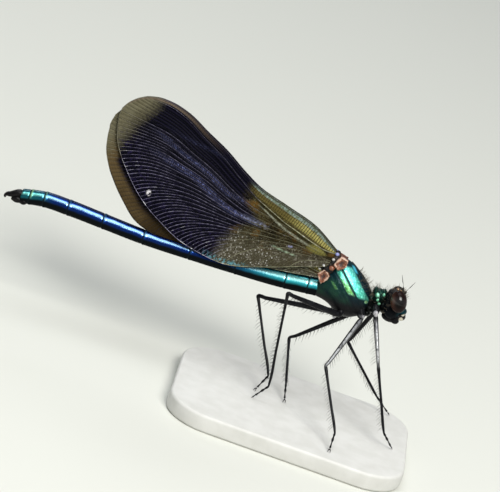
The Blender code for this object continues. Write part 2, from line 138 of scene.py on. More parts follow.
class Wire:
    """One socket of a material; sums on it add Math nodes."""

    def __init__(self, socket):
        self.socket = socket

    def add(self, kind, inputs, output=0, **settings):
        """Adds a node: its settings first, then values or wires on its sockets; gives one output."""
        tree = self.socket.id_data
        made = tree.nodes.new(kind)
        for name, value in settings.items():
            setattr(made, name, value)
        for key, value in inputs.items():
            if isinstance(value, Wire):
                tree.links.new(value.socket, made.inputs[key])
            else:
                made.inputs[key].default_value = value
        return Wire(made.outputs[output])

    def maths(self, operation, *others):
        return self.add("ShaderNodeMath", dict(enumerate((self, *others))), operation=operation)

    def __add__(self, other):
        return self.maths("ADD", other)

    def __sub__(self, other):
        return self.maths("SUBTRACT", other)

    def __mul__(self, other):
        return self.maths("MULTIPLY", other)

    def __truediv__(self, other):
        return self.maths("DIVIDE", other)

    def __rsub__(self, other):
        return self * -1.0 + other

    __radd__ = __add__
    __rmul__ = __mul__

    def either(self, other):
        return self.maths("MAXIMUM", other)

    def fade(self, low, high):
        """0 below low, 1 above high and a smooth ramp between; low may be the greater."""
        return self.add("ShaderNodeMapRange", {"Value": self, "From Min": low, "From Max": high},
                        interpolation_type="SMOOTHSTEP")

    def near(self, value, outer, inner):
        """1 within inner of a value and 0 beyond outer."""
        return (self - value).maths("ABSOLUTE").fade(outer, inner)

    def band(self, low, high, edge):
        """1 between low and high, with soft edges."""
        return self.fade(low - edge, low + edge) * self.fade(high + edge, high - edge)

    def mix(self, first, second):
        """The first colour where this wire is 0, the second where it is 1."""
        ends = [end if isinstance(end, Wire) else (*end, 1.0) for end in (first, second)]
        return self.add("ShaderNodeMix", {0: self, 6: ends[0], 7: ends[1]}, output=2,
                        data_type="RGBA", clamp_factor=True)

    def axes(self):
        """The three coordinates of a vector."""
        split = self.add("ShaderNodeSeparateXYZ", {0: self}).socket.node
        return [Wire(output) for output in split.outputs]

    def noise(self, scale, detail=2.0):
        """Cloudy values about 0.5, at so many lumps to one unit of this vector."""
        return self.add("ShaderNodeTexNoise", {"Vector": self, "Scale": scale, "Detail": detail})

    def clouds(self, scale, detail, low, high, first, second):
        """Patches of two colours, shading into each other between two noise values."""
        return self.noise(scale, detail).fade(low, high).mix(first, second)

    def cells(self, scale, output=0):
        """Distance to the nearest of scattered points, or with Color a random colour for each."""
        return self.add("ShaderNodeTexVoronoi", {"Vector": self, "Scale": scale}, output=output)


class Finish:
    """A new material, given constants for its shader and then what varies over the surface."""

    def __init__(self, name, roughness=0.4, **constants):
        self.material = bpy.data.materials.new(name)
        self.material.use_nodes = True
        self.shader = self.material.node_tree.nodes["Principled BSDF"]
        for key, value in {"Roughness": roughness, **constants}.items():
            self.shader.inputs[key.replace("_", " ")].default_value = value

    def source(self, kind, output, **settings):
        """A wire out of a node that reads the piece."""
        made = self.material.node_tree.nodes.new(kind)
        for name, value in settings.items():
            setattr(made, name, value)
        return Wire(made.outputs[output])

    def place(self, pose=Matrix.Identity(4)):
        """Object coordinates in millimetres, turned back out of a pose."""
        start, undo = self.source("ShaderNodeTexCoord", "Object"), pose.inverted()
        return start.add("ShaderNodeMapping", {"Vector": start, "Scale": (1 / MM, 1 / MM, 1 / MM),
                                               "Rotation": undo.to_euler(), "Location": undo.translation})

    def layout(self, name="UVMap"):
        """The two coordinates of a UV map."""
        return self.source("ShaderNodeUVMap", "UV", uv_map=name).axes()[:2]

    def kept(self, name):
        """A number kept at the points of the piece."""
        return self.source("ShaderNodeAttribute", "Fac", attribute_name=name)

    def wear(self, colour, height=None, depth=0.0, strength=1.0, **wires):
        """Joins up the colour, a relief of this many millimetres and any other wires."""
        wires["Base_Color"] = colour
        if height:
            wires["Normal"] = height.add("ShaderNodeBump", {"Height": height, "Strength": strength,
                                                            "Distance": depth * MM})
        for key, wire in wires.items():
            self.material.node_tree.links.new(wire.socket, self.shader.inputs[key.replace("_", " ")])


def bevel_edges(piece, wanted, offset, segments):
    """Rounds the edges whose run from end to end passes a test."""
    bpy.ops.object.mode_set(mode="EDIT")
    bpy.ops.mesh.select_mode(type="EDGE")
    bpy.ops.mesh.select_all(action="DESELECT")
    bpy.ops.object.mode_set(mode="OBJECT")
    points = piece.data.vertices
    for edge in piece.data.edges:
        edge.select = wanted(points[edge.vertices[0]].co - points[edge.vertices[1]].co)
    bpy.ops.object.mode_set(mode="EDIT")
    bpy.ops.mesh.bevel(offset=offset, segments=segments, profile=0.5, affect="EDGES")
    bpy.ops.object.mode_set(mode="OBJECT")


bpy.ops.object.select_all(action="DESELECT")
bpy.ops.mesh.primitive_cube_add(size=1.0)
base_plate = bpy.context.object
base_plate.name = "base_plate"
base_plate.data.transform(Matrix.Translation((*BASE_CENTRE, BASE_SIZE[2] / 2))
                          @ Matrix.Diagonal((*BASE_SIZE, 1.0)))
bevel_edges(base_plate, lambda run: abs(run.z) > 1.0, BASE_CORNER, 24)
bevel_edges(base_plate, lambda run: abs(run.z) < 0.01, BASE_RIM, 5)
bpy.ops.object.shade_smooth_by_angle(angle=math.radians(30))
resin = Finish("base_resin", roughness=0.55)
place = resin.place()
resin.wear(place.clouds(0.5, 5.0, 0.3, 0.7, (0.60, 0.60, 0.57), (0.66, 0.66, 0.635)),
           place.noise(6.0, 4.0), 0.012, 0.4)
settle(base_plate, resin, "stand_grey", "stand_base", pose=Matrix.Identity(4))


# Thorax
# The skewed box that carries the wings: metallic green plates parted by dark seams that slant back,
# a blue-black keel down the front, and a black underside. A glossy, finely pitted shell, its bright plates
# speckled with pale painted glints.
THORAX_STATIONS = ((2.90, 0.60, -1.50, 0.78), (2.50, 1.15, -2.10, 1.24), (1.75, 1.90, -2.60, 1.58),
                   (0.90, 2.55, -2.85, 1.80), (0.10, 3.10, -2.85, 1.90), (-0.60, 3.42, -2.55, 1.92),
                   (-1.20, 3.42, -2.10, 1.86), (-1.80, 3.10, -1.82, 1.72), (-2.30, 2.60, -1.68, 1.52),
                   (-2.80, 1.90, -1.60, 1.26), (-3.20, 1.20, -1.52, 0.98))
THORAX_SQUARE = 2.6
THORAX_NARROW = 0.28
SEAM_SLOPE = 1.05          # the seams fall by this for each unit towards the head
SEAMS = (2.80, 1.14, 0.12, -0.62)
SEAM_DEPTH = 0.10


def smooth_line(points, value):
    """Reads smooth curves through rows of (place, value, value ...) at one place or many."""
    table = np.array(points, float)
    if table[0, 0] > table[-1, 0]:
        table = table[::-1]
    places, heights = table[:, 0], table[:, 1:]
    slopes = np.gradient(heights, places, axis=0)
    value = np.clip(value, places[0], places[-1])
    i = np.clip(np.searchsorted(places, value, side="right") - 1, 0, len(places) - 2)
    span = places[i + 1] - places[i]
    t, span = ((value - places[i]) / span)[..., None], span[..., None]
    return ((2 * t ** 3 - 3 * t ** 2 + 1) * heights[i] + (t ** 3 - 2 * t ** 2 + t) * span * slopes[i]
            + (3 * t ** 2 - 2 * t ** 3) * heights[i + 1] + (t ** 3 - t ** 2) * span * slopes[i + 1])


def formed(name, rows, columns, place):
    """A grid primitive with every point put in place by a formula of its two shares, 0 to 1."""
    bpy.ops.object.select_all(action="DESELECT")
    bpy.ops.mesh.primitive_grid_add(x_subdivisions=rows, y_subdivisions=columns, size=1.0)
    piece = bpy.context.object
    piece.name = name
    for vert in piece.data.vertices:
        vert.co = place(min(1.0, max(0.0, vert.co.x + 0.5)), min(1.0, max(0.0, vert.co.y + 0.5)))
    return piece


def close_up(piece, reach=0.0005):
    """Merges points within reach, such as a rolled grid's seam, and turns the faces outwards."""
    bpy.ops.object.select_all(action="DESELECT")
    piece.select_set(True)
    bpy.context.view_layer.objects.active = piece
    bpy.ops.object.mode_set(mode="EDIT")
    bpy.ops.mesh.select_all(action="SELECT")
    if reach:
        bpy.ops.mesh.remove_doubles(threshold=reach)
    bpy.ops.mesh.normals_make_consistent(inside=False)
    bpy.ops.object.mode_set(mode="OBJECT")
    bpy.ops.object.shade_smooth()
    return piece


def thorax_place(u, v):
    """A boxy section whose sides pull in towards the back; the ends close to a point."""
    cap = min(1.0, 14 * u, 14 * (1 - u))
    closing = math.sqrt(1 - (1 - cap) ** 2)
    x = 2.90 - 6.10 * max(0.0, min(1.0, (u - 0.05) / 0.9))
    top, bottom, half = smooth_line(THORAX_STATIONS, x)
    x += 0.16 * (1 - closing) * (1 if u < 0.5 else -1)
    angle = 2 * math.pi * v
    c, s = math.cos(angle), math.sin(angle)
    y = math.copysign(abs(c) ** (2 / THORAX_SQUARE), c) * half * closing
    lift = math.copysign(abs(s) ** (2 / THORAX_SQUARE), s)
    y *= 1.0 - THORAX_NARROW * max(0.0, lift)
    z = (top + bottom) / 2 + lift * (top - bottom) / 2 * closing
    q = x + z / SEAM_SLOPE
    side = max(0.0, 1 - abs(lift) ** 6)
    groove = sum(math.exp(-((q - seam) / 0.10) ** 2) for seam in SEAMS) * side
    keel = 0.10 * math.exp(-(y / 0.16) ** 2) if lift > 0.6 and x > -0.2 else 0.0
    return Vector((x, y * (1 - SEAM_DEPTH * groove / max(half, 0.5)), z + keel))


def oval(*axes):
    """Squared distance from a centre; each axis is (wire, centre, weight)."""
    return sum((wire - centre) * (wire - centre) * weight for wire, centre, weight in axes)


def spots(x, z, places, edge):
    """Round spots at ((x, z), radius), soft over this share of the radius on both sides of it."""
    away = [(oval((x, a, 1.0), (z, b, 1.0)).maths("SQRT"), radius) for (a, b), radius in places]
    return reduce(Wire.either, [wire.fade(radius * (1 + edge), radius * (1 - edge)) for wire, radius in away])


def layers(colour, *coats):
    """A colour under coats of (mask, colour), each over the last."""
    for mask, coat in coats:
        colour = mask.mix(colour, coat)
    return colour


shell = Finish("thorax_shell", Specular_IOR_Level=0.12, Coat_Roughness=0.12)
place = shell.place(POSE)
x, y, z = place.axes()
side = y.maths("ABSOLUTE")
rough = (place.noise(0.9, 3.0) - 0.5) * 0.5
q = x + z / SEAM_SLOPE + rough * 0.35
low = z + rough * 0.5
fine = place.noise(4.5, 4.0)
flank = side.fade(0.35, 0.75)
spot = spots(x, z, [((2.62, -0.50), 0.18)], 1 / 3) * flank
first = q.band(1.32, 2.66, 0.10) * low.fade(-0.42, -0.05) * low.fade(2.85, 2.55) * flank
first = first.either(spot)
second = q.band(0.24, 0.98, 0.09) * low.fade(-0.32, 0.02) * low.fade(2.35, 1.85) * flank
third = q.band(-1.18, -0.86, 0.10) * low.band(0.0, 0.72, 0.12) * flank
bright = first.either(second).either(third)
patch = q.band(2.72, 3.02, 0.10) * z.band(2.30, 2.95, 0.15) * side.band(0.35, 1.3, 0.2)
moss = q.fade(0.15, -0.2) * z.band(-1.1, 0.9, 0.5) * rough.fade(-0.2, 0.2)
turquoise = (z * 0.5 + rough).fade(-0.3, 1.2).mix((0.085, 0.50, 0.36), (0.09, 0.53, 0.47))
lime = (q * 0.3 + rough + z).fade(0.6, 2.1).mix((0.12, 0.33, 0.09), (0.06, 0.44, 0.33))
colour = layers((z + side * 0.4).fade(-1.2, 1.4).mix((0.003, 0.003, 0.004), (0.003, 0.022, 0.030)),
                (moss * 0.8, (0.012, 0.060, 0.028)),
                (q.fade(2.7, 3.0), (0.002, 0.012, 0.020)),
                (first, spot.mix(turquoise, (0.36, 0.62, 0.26))),
                (second, lime),
                (third, (0.09, 0.24, 0.07)),
                (patch, (0.05, 0.40, 0.55)),
                # Pale near-white specks on the bright plates are painted glints; the dark specks after them
                # are pits.
                (bright * fine.fade(0.52, 0.68) * 0.45, (0.45, 0.95, 0.85)),
                (bright * fine.fade(0.48, 0.34) * 0.4, (0.01, 0.22, 0.16)))
shell.wear(colour, place.cells(9.0).fade(0.0, 0.5) * 0.6 + place.noise(4.0, 4.0), 0.04, 0.8,
           Metallic=bright * 0.55 + z.fade(-1.5, 0.5) * 0.3, Roughness=place.noise(3.0) * 0.14 + 0.24,
           Coat_Weight=bright.either(patch) * 0.35 + 0.05)
settle(close_up(formed("thorax_shell", 120, 128, thorax_place)), shell, "green_metal", "thorax")


# First ring and neck
# The narrow saddle that carries the front legs: black, with a few bright green bosses on its flanks.
# Its lobes and the neck behind the head are moulded as one surface.
def modify(piece, kind, **settings):
    """Applies a modifier."""
    added = piece.modifiers.new(kind, kind)
    for name, value in settings.items():
        setattr(added, name, value)
    bpy.ops.object.modifier_apply(modifier=kind)


def fused(name, lobes, voxel, rounds):
    """Balls stretched to lobes, fused by a fine remesh and smoothed into one skin."""
    balls = []
    for centre, radii in lobes:
        bpy.ops.mesh.primitive_uv_sphere_add(segments=40, ring_count=24, radius=1.0)
        balls.append(bpy.context.object)
        balls[-1].data.transform(Matrix.Translation(centre) @ Matrix.Diagonal((*radii, 1.0)))
    bpy.ops.object.select_all(action="DESELECT")
    for ball in balls:
        ball.select_set(True)
    bpy.context.view_layer.objects.active = balls[0]
    bpy.ops.object.join()
    piece = bpy.context.object
    piece.name = name
    modify(piece, "REMESH", mode="VOXEL", voxel_size=voxel)
    modify(piece, "SMOOTH", factor=0.5, iterations=rounds)
    bpy.ops.object.shade_smooth()
    return piece


def both_sides(lobes):
    """Each lobe that is off the middle plane, with its mirror image."""
    return lobes + [((x, -y, z), radii) for (x, y, z), radii in lobes if y]


PROTHORAX_LOBES = [((3.78, 0.0, 0.10), (0.78, 1.10, 1.05)), ((3.85, 0.0, 0.85), (0.62, 0.78, 0.52)),
                   ((3.62, 0.0, -0.72), (0.80, 0.82, 0.82)),
                   ((4.30, 0.0, 0.62), (0.42, 0.93, 0.85)), ((3.32, 0.0, 0.85), (0.32, 0.98, 0.60)),
                   ((3.00, 0.0, -0.20), (0.50, 0.80, 0.90)), ((4.75, 0.0, 0.25), (0.50, 0.62, 0.62)),
                   ((4.55, 0.0, -0.45), (0.55, 0.72, 0.62)), ((4.95, 0.0, 0.10), (0.50, 0.80, 0.80)),
                   ((4.85, 0.0, -0.75), (0.62, 0.80, 0.55)),
                   ((3.15, 0.0, -1.20), (0.62, 0.85, 0.55)), ((3.05, 0.0, -1.75), (0.50, 0.75, 0.40)),
                   ((3.62, 0.98, 0.62), (0.22, 0.14, 0.24)), ((4.32, 0.80, 0.84), (0.16, 0.13, 0.18)),
                   ((3.80, 1.02, 0.11), (0.18, 0.12, 0.15)), ((4.08, 0.90, -0.28), (0.20, 0.14, 0.12))]
PROTHORAX_SPOTS = (((3.62, 0.62), 0.24), ((4.32, 0.84), 0.17), ((3.80, 0.11), 0.15), ((4.08, -0.28), 0.17))

ring_shell = Finish("first_ring_shell", roughness=0.30, Specular_IOR_Level=0.12)
place = ring_shell.place(POSE)
x, y, z = place.axes()
bosses = spots(x, z, PROTHORAX_SPOTS, 0.25) * y.maths("ABSOLUTE").fade(0.55, 0.75)
mint = (x - z).fade(3.0, 3.9).mix((0.40, 0.92, 0.66), (0.12, 0.36, 0.22))
mint = place.clouds(3.5, 3.0, 0.35, 0.6, (0.08, 0.30, 0.18), mint)
black = z.fade(-0.4, 1.2).mix((0.003, 0.004, 0.004), (0.004, 0.030, 0.022))
ring_shell.wear(bosses.mix(black, mint), place.noise(5.0, 4.0), 0.03, 0.6, Metallic=0.6 - bosses * 0.3)
settle(fused("first_ring_shell", both_sides(PROTHORAX_LOBES), 0.045, 4), ring_shell,
       "green_metal", "prothorax")


# Head
# Wide and short, like a dumb-bell: a black capsule between the eyes with a domed brow, a shelf over
# the mouth and full cheeks behind. Glossy black with a green-blue cast and three small eyelets.
HEAD_LOBES = [((5.75, 0.0, 0.70), (1.00, 1.75, 1.13)), ((6.35, 0.0, 0.35), (0.72, 1.25, 0.88)),
              ((6.78, 0.0, -0.42), (0.62, 0.98, 0.50)), ((5.12, 0.0, 0.35), (0.58, 1.55, 1.38)),
              ((5.70, 0.72, -0.70), (0.90, 0.62, 0.83)), ((6.35, 0.80, 1.24), (0.26, 0.26, 0.24)),
              ((5.95, 1.45, 0.75), (0.78, 0.60, 1.12))]

head_shell = Finish("head_shell", roughness=0.35, Specular_IOR_Level=0.05)
place = head_shell.place(POSE)
x, _, z = place.axes()
front = (x + z * 0.2).fade(5.9, 6.6)
head_shell.wear(front.mix((0.004, 0.005, 0.007), (0.005, 0.035, 0.045)),
                place.cells(9.0).fade(0.0, 0.6) * 0.6 + place.noise(4.0, 4.0), 0.03, 0.7,
                Metallic=front * 0.6)
settle(fused("head_shell", both_sides(HEAD_LOBES), 0.05, 5), head_shell, "black_shell", "head")


# Mouth
# An upper lip plate under the shelf and a long lower lip folded beneath the head. Black, the upper
# lip with pale cream spots at its sides, the palps of the lower lip showing beside it.
LIP_SPOTS = (((7.0, -0.66), 0.22), ((6.95, -1.30), 0.24))
UPPER_LIP = [((6.98, 0.0, -1.02), (0.46, 0.76, 0.44)), ((7.06, 0.42, -0.80), (0.30, 0.30, 0.26)),
             ((6.92, 0.40, -1.26), (0.34, 0.34, 0.20))]
LOWER_LIP = [((5.75, 0.0, -1.42), (1.02, 0.70, 0.62)), ((6.35, 0.48, -1.62), (0.48, 0.34, 0.40)),
             ((6.55, 0.62, -1.15), (0.36, 0.34, 0.42))]

lip_shell = Finish("lip_shell", roughness=0.35, Specular_IOR_Level=0.10)
place = lip_shell.place(POSE)
x, y, z = place.axes()
cream = spots(x, z, LIP_SPOTS, 0.3) * y.maths("ABSOLUTE").fade(0.25, 0.4)
lip_shell.wear(cream.mix((0.006, 0.006, 0.007), (0.50, 0.47, 0.38)), place.noise(5.0, 4.0), 0.03, 0.5)
settle(fused("upper_lip", both_sides(UPPER_LIP), 0.04, 3), lip_shell, "pale_mouth", "labrum")
settle(fused("lower_lip", both_sides(LOWER_LIP), 0.04, 3), lip_shell, "black_shell", "labium")


# Eyes
# Large bulging ovals set wide apart, deep red-brown with a nearly black middle, of thousands of fine
# facets under a wet gloss.
EYE_CENTRE = (6.05, 2.18, 0.72)
EYE_RADII = (0.93, 0.86, 1.27)
EYE_TILT = -17.0
SIDES = (("left", 1), ("right", -1))


def eye_place(u, v):
    """A ball stretched to the eye's radii and tilted."""
    around, rise = 2 * math.pi * v, math.pi * (u - 0.5)
    ball = (math.cos(rise) * math.cos(around), math.cos(rise) * math.sin(around), math.sin(rise))
    full = Vector([share * radius for share, radius in zip(ball, EYE_RADII)])
    return Matrix.Rotation(math.radians(EYE_TILT), 3, "Y") @ full


lens = Finish("eye_lens", roughness=0.35, Specular_IOR_Level=0.03, Coat_Roughness=0.17, Coat_IOR=1.7)
place = lens.place(POSE)
x, y, z = place.axes()
dark = oval((x, 6.15, 1.6), (z, 0.72, 0.8)).maths("SQRT").fade(0.85, 0.35)
dark = dark * y.maths("ABSOLUTE").fade(2.2, 2.8)
rim = (x + z * 0.3).fade(6.1, 5.3)
brown = (rim + place.noise(1.6, 3.0) * 0.4 - 0.2).mix((0.010, 0.0045, 0.004), (0.060, 0.026, 0.017))
lens.wear(dark.mix(brown, (0.002, 0.0012, 0.001)), place.cells(14.0).fade(0.0, 0.7), 0.012, 0.5,
          Coat_Weight=z.band(0.55, 1.20, 0.25) * 0.80 + 0.08)
for side_name, side in SIDES:
    eye = close_up(formed("eye_lens_" + side_name, 40, 56, eye_place))
    eye.data.transform(Matrix.Translation((EYE_CENTRE[0], EYE_CENTRE[1] * side, EYE_CENTRE[2])))
    settle(eye, lens, "dark_eye", "eye_" + side_name)


# Feelers and eyelets
# Each feeler is two stout black joints and a stiff bristle; the three eyelets are amber beads on top
# of the head.
FEELERS = {"right": ((6.35, -0.80, 1.25), (6.60, -0.95, 2.0), (7.25, -1.30, 3.25)),
           "left": ((6.35, 0.80, 1.25), (6.25, 1.05, 2.1), (5.75, 1.60, 3.35))}
FEELER_STEM = ((0.0, 0.20), (0.30, 0.20), (0.38, 0.14), (0.48, 0.15), (0.85, 0.13), (0.95, 0.07))
FEELER_BRISTLE = ((0.0, 0.055), (0.5, 0.040), (1.0, 0.015))
EYELETS = [((5.70, 0.36, 1.80), (0.15, 0.15, 0.15)), ((6.02, 0.0, 1.72), (0.15, 0.15, 0.15))]


def keep_numbers(mesh, name, values):
    """Keeps a number at each point of a mesh."""
    mesh.attributes.new(name, "FLOAT", "POINT").data.foreach_set("value", np.asarray(values, np.float32))


def rods(name, lines, sides, tones=()):
    """One mesh of tapered round rods, each through its own points with its own radii. Tones are kept
    at the points, one for each point of each line."""
    verts, faces = [], []
    spin = (np.arange(sides) * 2 * math.pi / sides)[:, None]
    for points, radii in lines:
        points, radii = np.asarray(points, float), np.asarray(radii, float)
        along = np.gradient(points, axis=0)
        along /= np.linalg.norm(along, axis=1)[:, None] + 1e-12
        mean = along.mean(axis=0)
        out = np.cross(along, (0, 1, 0) if abs(mean[1]) < 0.75 * np.linalg.norm(mean) else (1, 0, 0))
        out /= np.linalg.norm(out, axis=1)[:, None]
        over = np.cross(along, out)
        round_it = out[:, None] * np.cos(spin) + over[:, None] * np.sin(spin)
        rings = points[:, None] + radii[:, None, None] * round_it
        base = len(verts)
        verts.extend(map(tuple, rings.reshape(-1, 3)))
        for ring in range(base, len(verts) - sides, sides):
            for k in range(sides):
                a, b = ring + k, ring + (k + 1) % sides
                faces.append((a, a + sides, b + sides, b))
        faces += [tuple(range(base, base + sides)), tuple(range(len(verts) - 1, len(verts) - sides - 1, -1))]
    mesh = bpy.data.meshes.new(name)
    mesh.from_pydata(verts, [], faces)
    if len(tones):
        keep_numbers(mesh, "tone", np.repeat(np.concatenate(tones), sides))
    piece = bpy.data.objects.new(name, mesh)
    bpy.context.scene.collection.objects.link(piece)
    return close_up(piece, reach=0)


def curve_through(knots, count):
    """Evenly read points on a smooth curve through (x, y, z, radius) knots."""
    knots = np.asarray(knots, float)
    lengths = np.concatenate([[0.0], np.cumsum(np.linalg.norm(np.diff(knots[:, :3], axis=0), axis=1))])
    rows = smooth_line(np.column_stack([lengths, knots]), np.linspace(0, lengths[-1], count))
    return rows[:, :3], np.maximum(rows[:, 3], 0.004)


def stations(start, end, rows):
    """Knots between two points from rows of (share of the way, radius)."""
    return [(*start.lerp(end, share), radius) for share, radius in rows]


black_horn = Finish("black_horn", roughness=0.30, Specular_IOR_Level=0.10)
place = black_horn.place()
black_horn.wear(place.clouds(3.0, 2.0, 0.3, 0.7, (0.003, 0.003, 0.004), (0.010, 0.009, 0.009)),
                place.noise(9.0, 3.0), 0.02, 0.5)
for side_name, ends in FEELERS.items():
    root, joint, tip = map(Vector, ends)
    knots = stations(root, joint, FEELER_STEM) + stations(joint, tip, FEELER_BRISTLE)
    settle(rods("feeler_" + side_name, [curve_through(knots, 40)], 10), black_horn, "black_shell",
           "antenna_" + side_name)

amber = Finish("eyelet_amber", roughness=0.12, Coat_Weight=1.0)
amber.wear(amber.place().clouds(3.0, 2.0, 0.3, 0.7, (0.22, 0.09, 0.025), (0.36, 0.18, 0.06)))
settle(fused("eyelets", both_sides(EYELETS), 0.03, 1), amber, "pale_mouth")


# Fuzz
# Short soft hairs stand out of the front of the thorax, the first ring and the top and back of the
# head. Each hair's map place is its root's place on a layout of the skin it grows from.
HAIR_LENGTH = (0.35, 0.80)
HAIR_RADIUS = 0.014
HAIR_SIDES = 3
HAIR_PATCH = 0.003         # what each hair takes up of the layout
HAIR_COUNTS = (190, 130, 170)         # on the thorax, the first ring and the head


def thorax_root():
    """A place on the front of the thorax, its outward direction and its place on the layout."""
    u, v = random.uniform(0.06, 0.34), random.uniform(0.06, 0.44)
    here = thorax_place(u, v)
    out = (thorax_place(u + 0.004, v) - here).cross(thorax_place(u, v + 0.004) - here).normalized()
    if out.z < 0 and here.z > 0:
        out.negate()
    return here, out, (0.02 + 0.28 * u / 0.34, v)


def lobe_root(lobes, column, wanted):
    """The same on balls that are fused into one skin, on the free side of each."""
    while True:
        centre, radii = random.choice(lobes)
        turn, lift = random.uniform(0, 2 * math.pi), random.uniform(-1, 1)
        flat = math.sqrt(1 - lift * lift)
        ball = Vector((flat * math.cos(turn), flat * math.sin(turn), lift))
        here = Vector(centre) + Vector([b * r for b, r in zip(ball, radii)])
        inside = [sum(((h - c) / r) ** 2 for h, c, r in zip(here, *other)) < 0.98 for other in lobes]
        if not any(inside) and wanted(here):
            out = Vector([b / r for b, r in zip(ball, radii)]).normalized()
            return here, out, (column + 0.28 * turn / (2 * math.pi), 0.5 + 0.48 * lift)


straw = Finish("hair_straw", roughness=0.5, Specular_IOR_Level=0.2)
straw.wear(straw.place().clouds(1.2, 3.0, 0.35, 0.65, (0.045, 0.036, 0.026), (0.24, 0.20, 0.145)))
random.seed(5)
roots = [thorax_root() for _ in range(HAIR_COUNTS[0])]
roots += [lobe_root(both_sides(PROTHORAX_LOBES[:6]), 0.35, lambda here: here.z > -0.3)
          for _ in range(HAIR_COUNTS[1])]
roots += [lobe_root(both_sides(HEAD_LOBES), 0.68, lambda here: here.z > 0.9 or here.x < 5.4)
          for _ in range(HAIR_COUNTS[2])]
hairs = []
for here, out, _ in roots:
    reach = random.uniform(*HAIR_LENGTH)
    bow = Vector((random.uniform(-0.3, 0.3), random.uniform(-0.3, 0.3), random.uniform(0.0, 0.4)))
    hairs.append(([here - out * 0.06, here + (out + bow * 0.3) * reach * 0.5,
                   here + (out + bow).normalized() * reach],
                  [HAIR_RADIUS, HAIR_RADIUS * 0.8, HAIR_RADIUS * 0.25]))
fuzz = rods("fuzz", hairs, HAIR_SIDES)
bake_map = fuzz.data.uv_layers.new(name="OFBake")
for loop, spot in zip(fuzz.data.loops, bake_map.data):
    number, ring = divmod(loop.vertex_index, 3 * HAIR_SIDES)
    column, row = roots[number][2]
    spot.uv = (column + HAIR_PATCH * (ring // HAIR_SIDES) / 2, row + HAIR_PATCH * (ring % HAIR_SIDES) / 2)
settle(fuzz, straw, "black_shell")


# Abdomen
# Ten rings telescoped into one long, gently bent tube, each a little wider at its hind rim, where a
# thin pale skin shows. Metallic blue, turquoise near the thorax and teal at the tail, with a pale painted
# highlight streak along the upper side, a darker top that is painted shade, and black below, deepened by
# painted shade.
SEGMENT_LENGTHS = (0.85, 2.6, 5.8, 5.4, 5.5, 4.9, 4.2, 2.85, 1.65, 1.1)
SEGMENT_RISES = (-5.0, -4.4, -1.7, 0.2, 1.6, 4.7, 4.6, 1.8, -7.6, -10.0)
SEGMENT_RADII = (1.02, 1.01, 0.97, 0.86, 0.82, 0.84, 0.87, 0.90, 0.89, 0.86)
ABDOMEN_START = (-3.35, -0.59)
TUBE_LEAD = 0.40           # the first ring runs this far into the thorax

x, z = ABDOMEN_START
ABDOMEN_KNOTS = [(0.0, x, z)]          # the start of each ring: length so far, x, z
for length, rise in zip(SEGMENT_LENGTHS, SEGMENT_RISES):
    x -= length * math.cos(math.radians(rise))
    z += length * math.sin(math.radians(rise))
    ABDOMEN_KNOTS.append((ABDOMEN_KNOTS[-1][0] + length, x, z))
RING_ENDS = [knot[0] for knot in ABDOMEN_KNOTS]
ABDOMEN_LENGTH = RING_ENDS[-1]


def ring_radius(length):
    """Radius along the tube: an even taper with a flared rim and a pinched joint at each ring's end."""
    radius = float(np.interp(length, RING_ENDS, SEGMENT_RADII + (0.84,)))
    for end in RING_ENDS[1:-1]:
        behind = length - end
        radius += 0.035 * math.exp(-((behind + 0.16) / 0.14) ** 2)
        radius -= 0.045 * math.exp(-((behind - 0.05) / 0.07) ** 2)
    return radius


def abdomen_place(u, v):
    """A round section with a low ridge above and two folds below, closed to a point at both ends."""
    length = -TUBE_LEAD + (ABDOMEN_LENGTH + TUBE_LEAD) * u
    end = min(1.0, (1 - u) * ABDOMEN_LENGTH / 0.22, u * ABDOMEN_LENGTH / 0.05)
    x, z = smooth_line(ABDOMEN_KNOTS, max(length, 0.0))
    x -= min(length, 0.0)
    radius = ring_radius(max(length, 0.0)) * math.sqrt(max(0.0, 1 - (1 - end) ** 2))
    angle = 2 * math.pi * v
    c, s = math.cos(angle), math.sin(angle)
    ridge = 0.03 * math.exp(-((angle - math.pi / 2) / 0.10) ** 2)
    fold = 0.05 * sum(math.exp(-((angle - math.pi * turn) / 0.09) ** 2) for turn in (1.30, 1.70))
    return Vector((x, c * radius * (1 - fold), z + s * radius * (1.0 + ridge)))


skin = Finish("abdomen_shell", Specular_IOR_Level=0.02)
u, v = skin.layout()
body = skin.place(POSE)
length = u * (ABDOMEN_LENGTH + TUBE_LEAD) - TUBE_LEAD
height = (v * (2 * math.pi)).maths("SINE")
cloud = body.noise(0.8, 3.0) - 0.5
lit = height + cloud * 0.25
joints = reduce(Wire.either, [length.near(end, 0.12, 0.04) for end in RING_ENDS[1:-1]])
rims = reduce(Wire.either, [length.near(end - 0.16, 0.16, 0.05) for end in RING_ENDS[1:-1]])
fore = length.fade(11.0, 2.5)
tail = (length + cloud * 1.2).fade(30.8, 33.0)
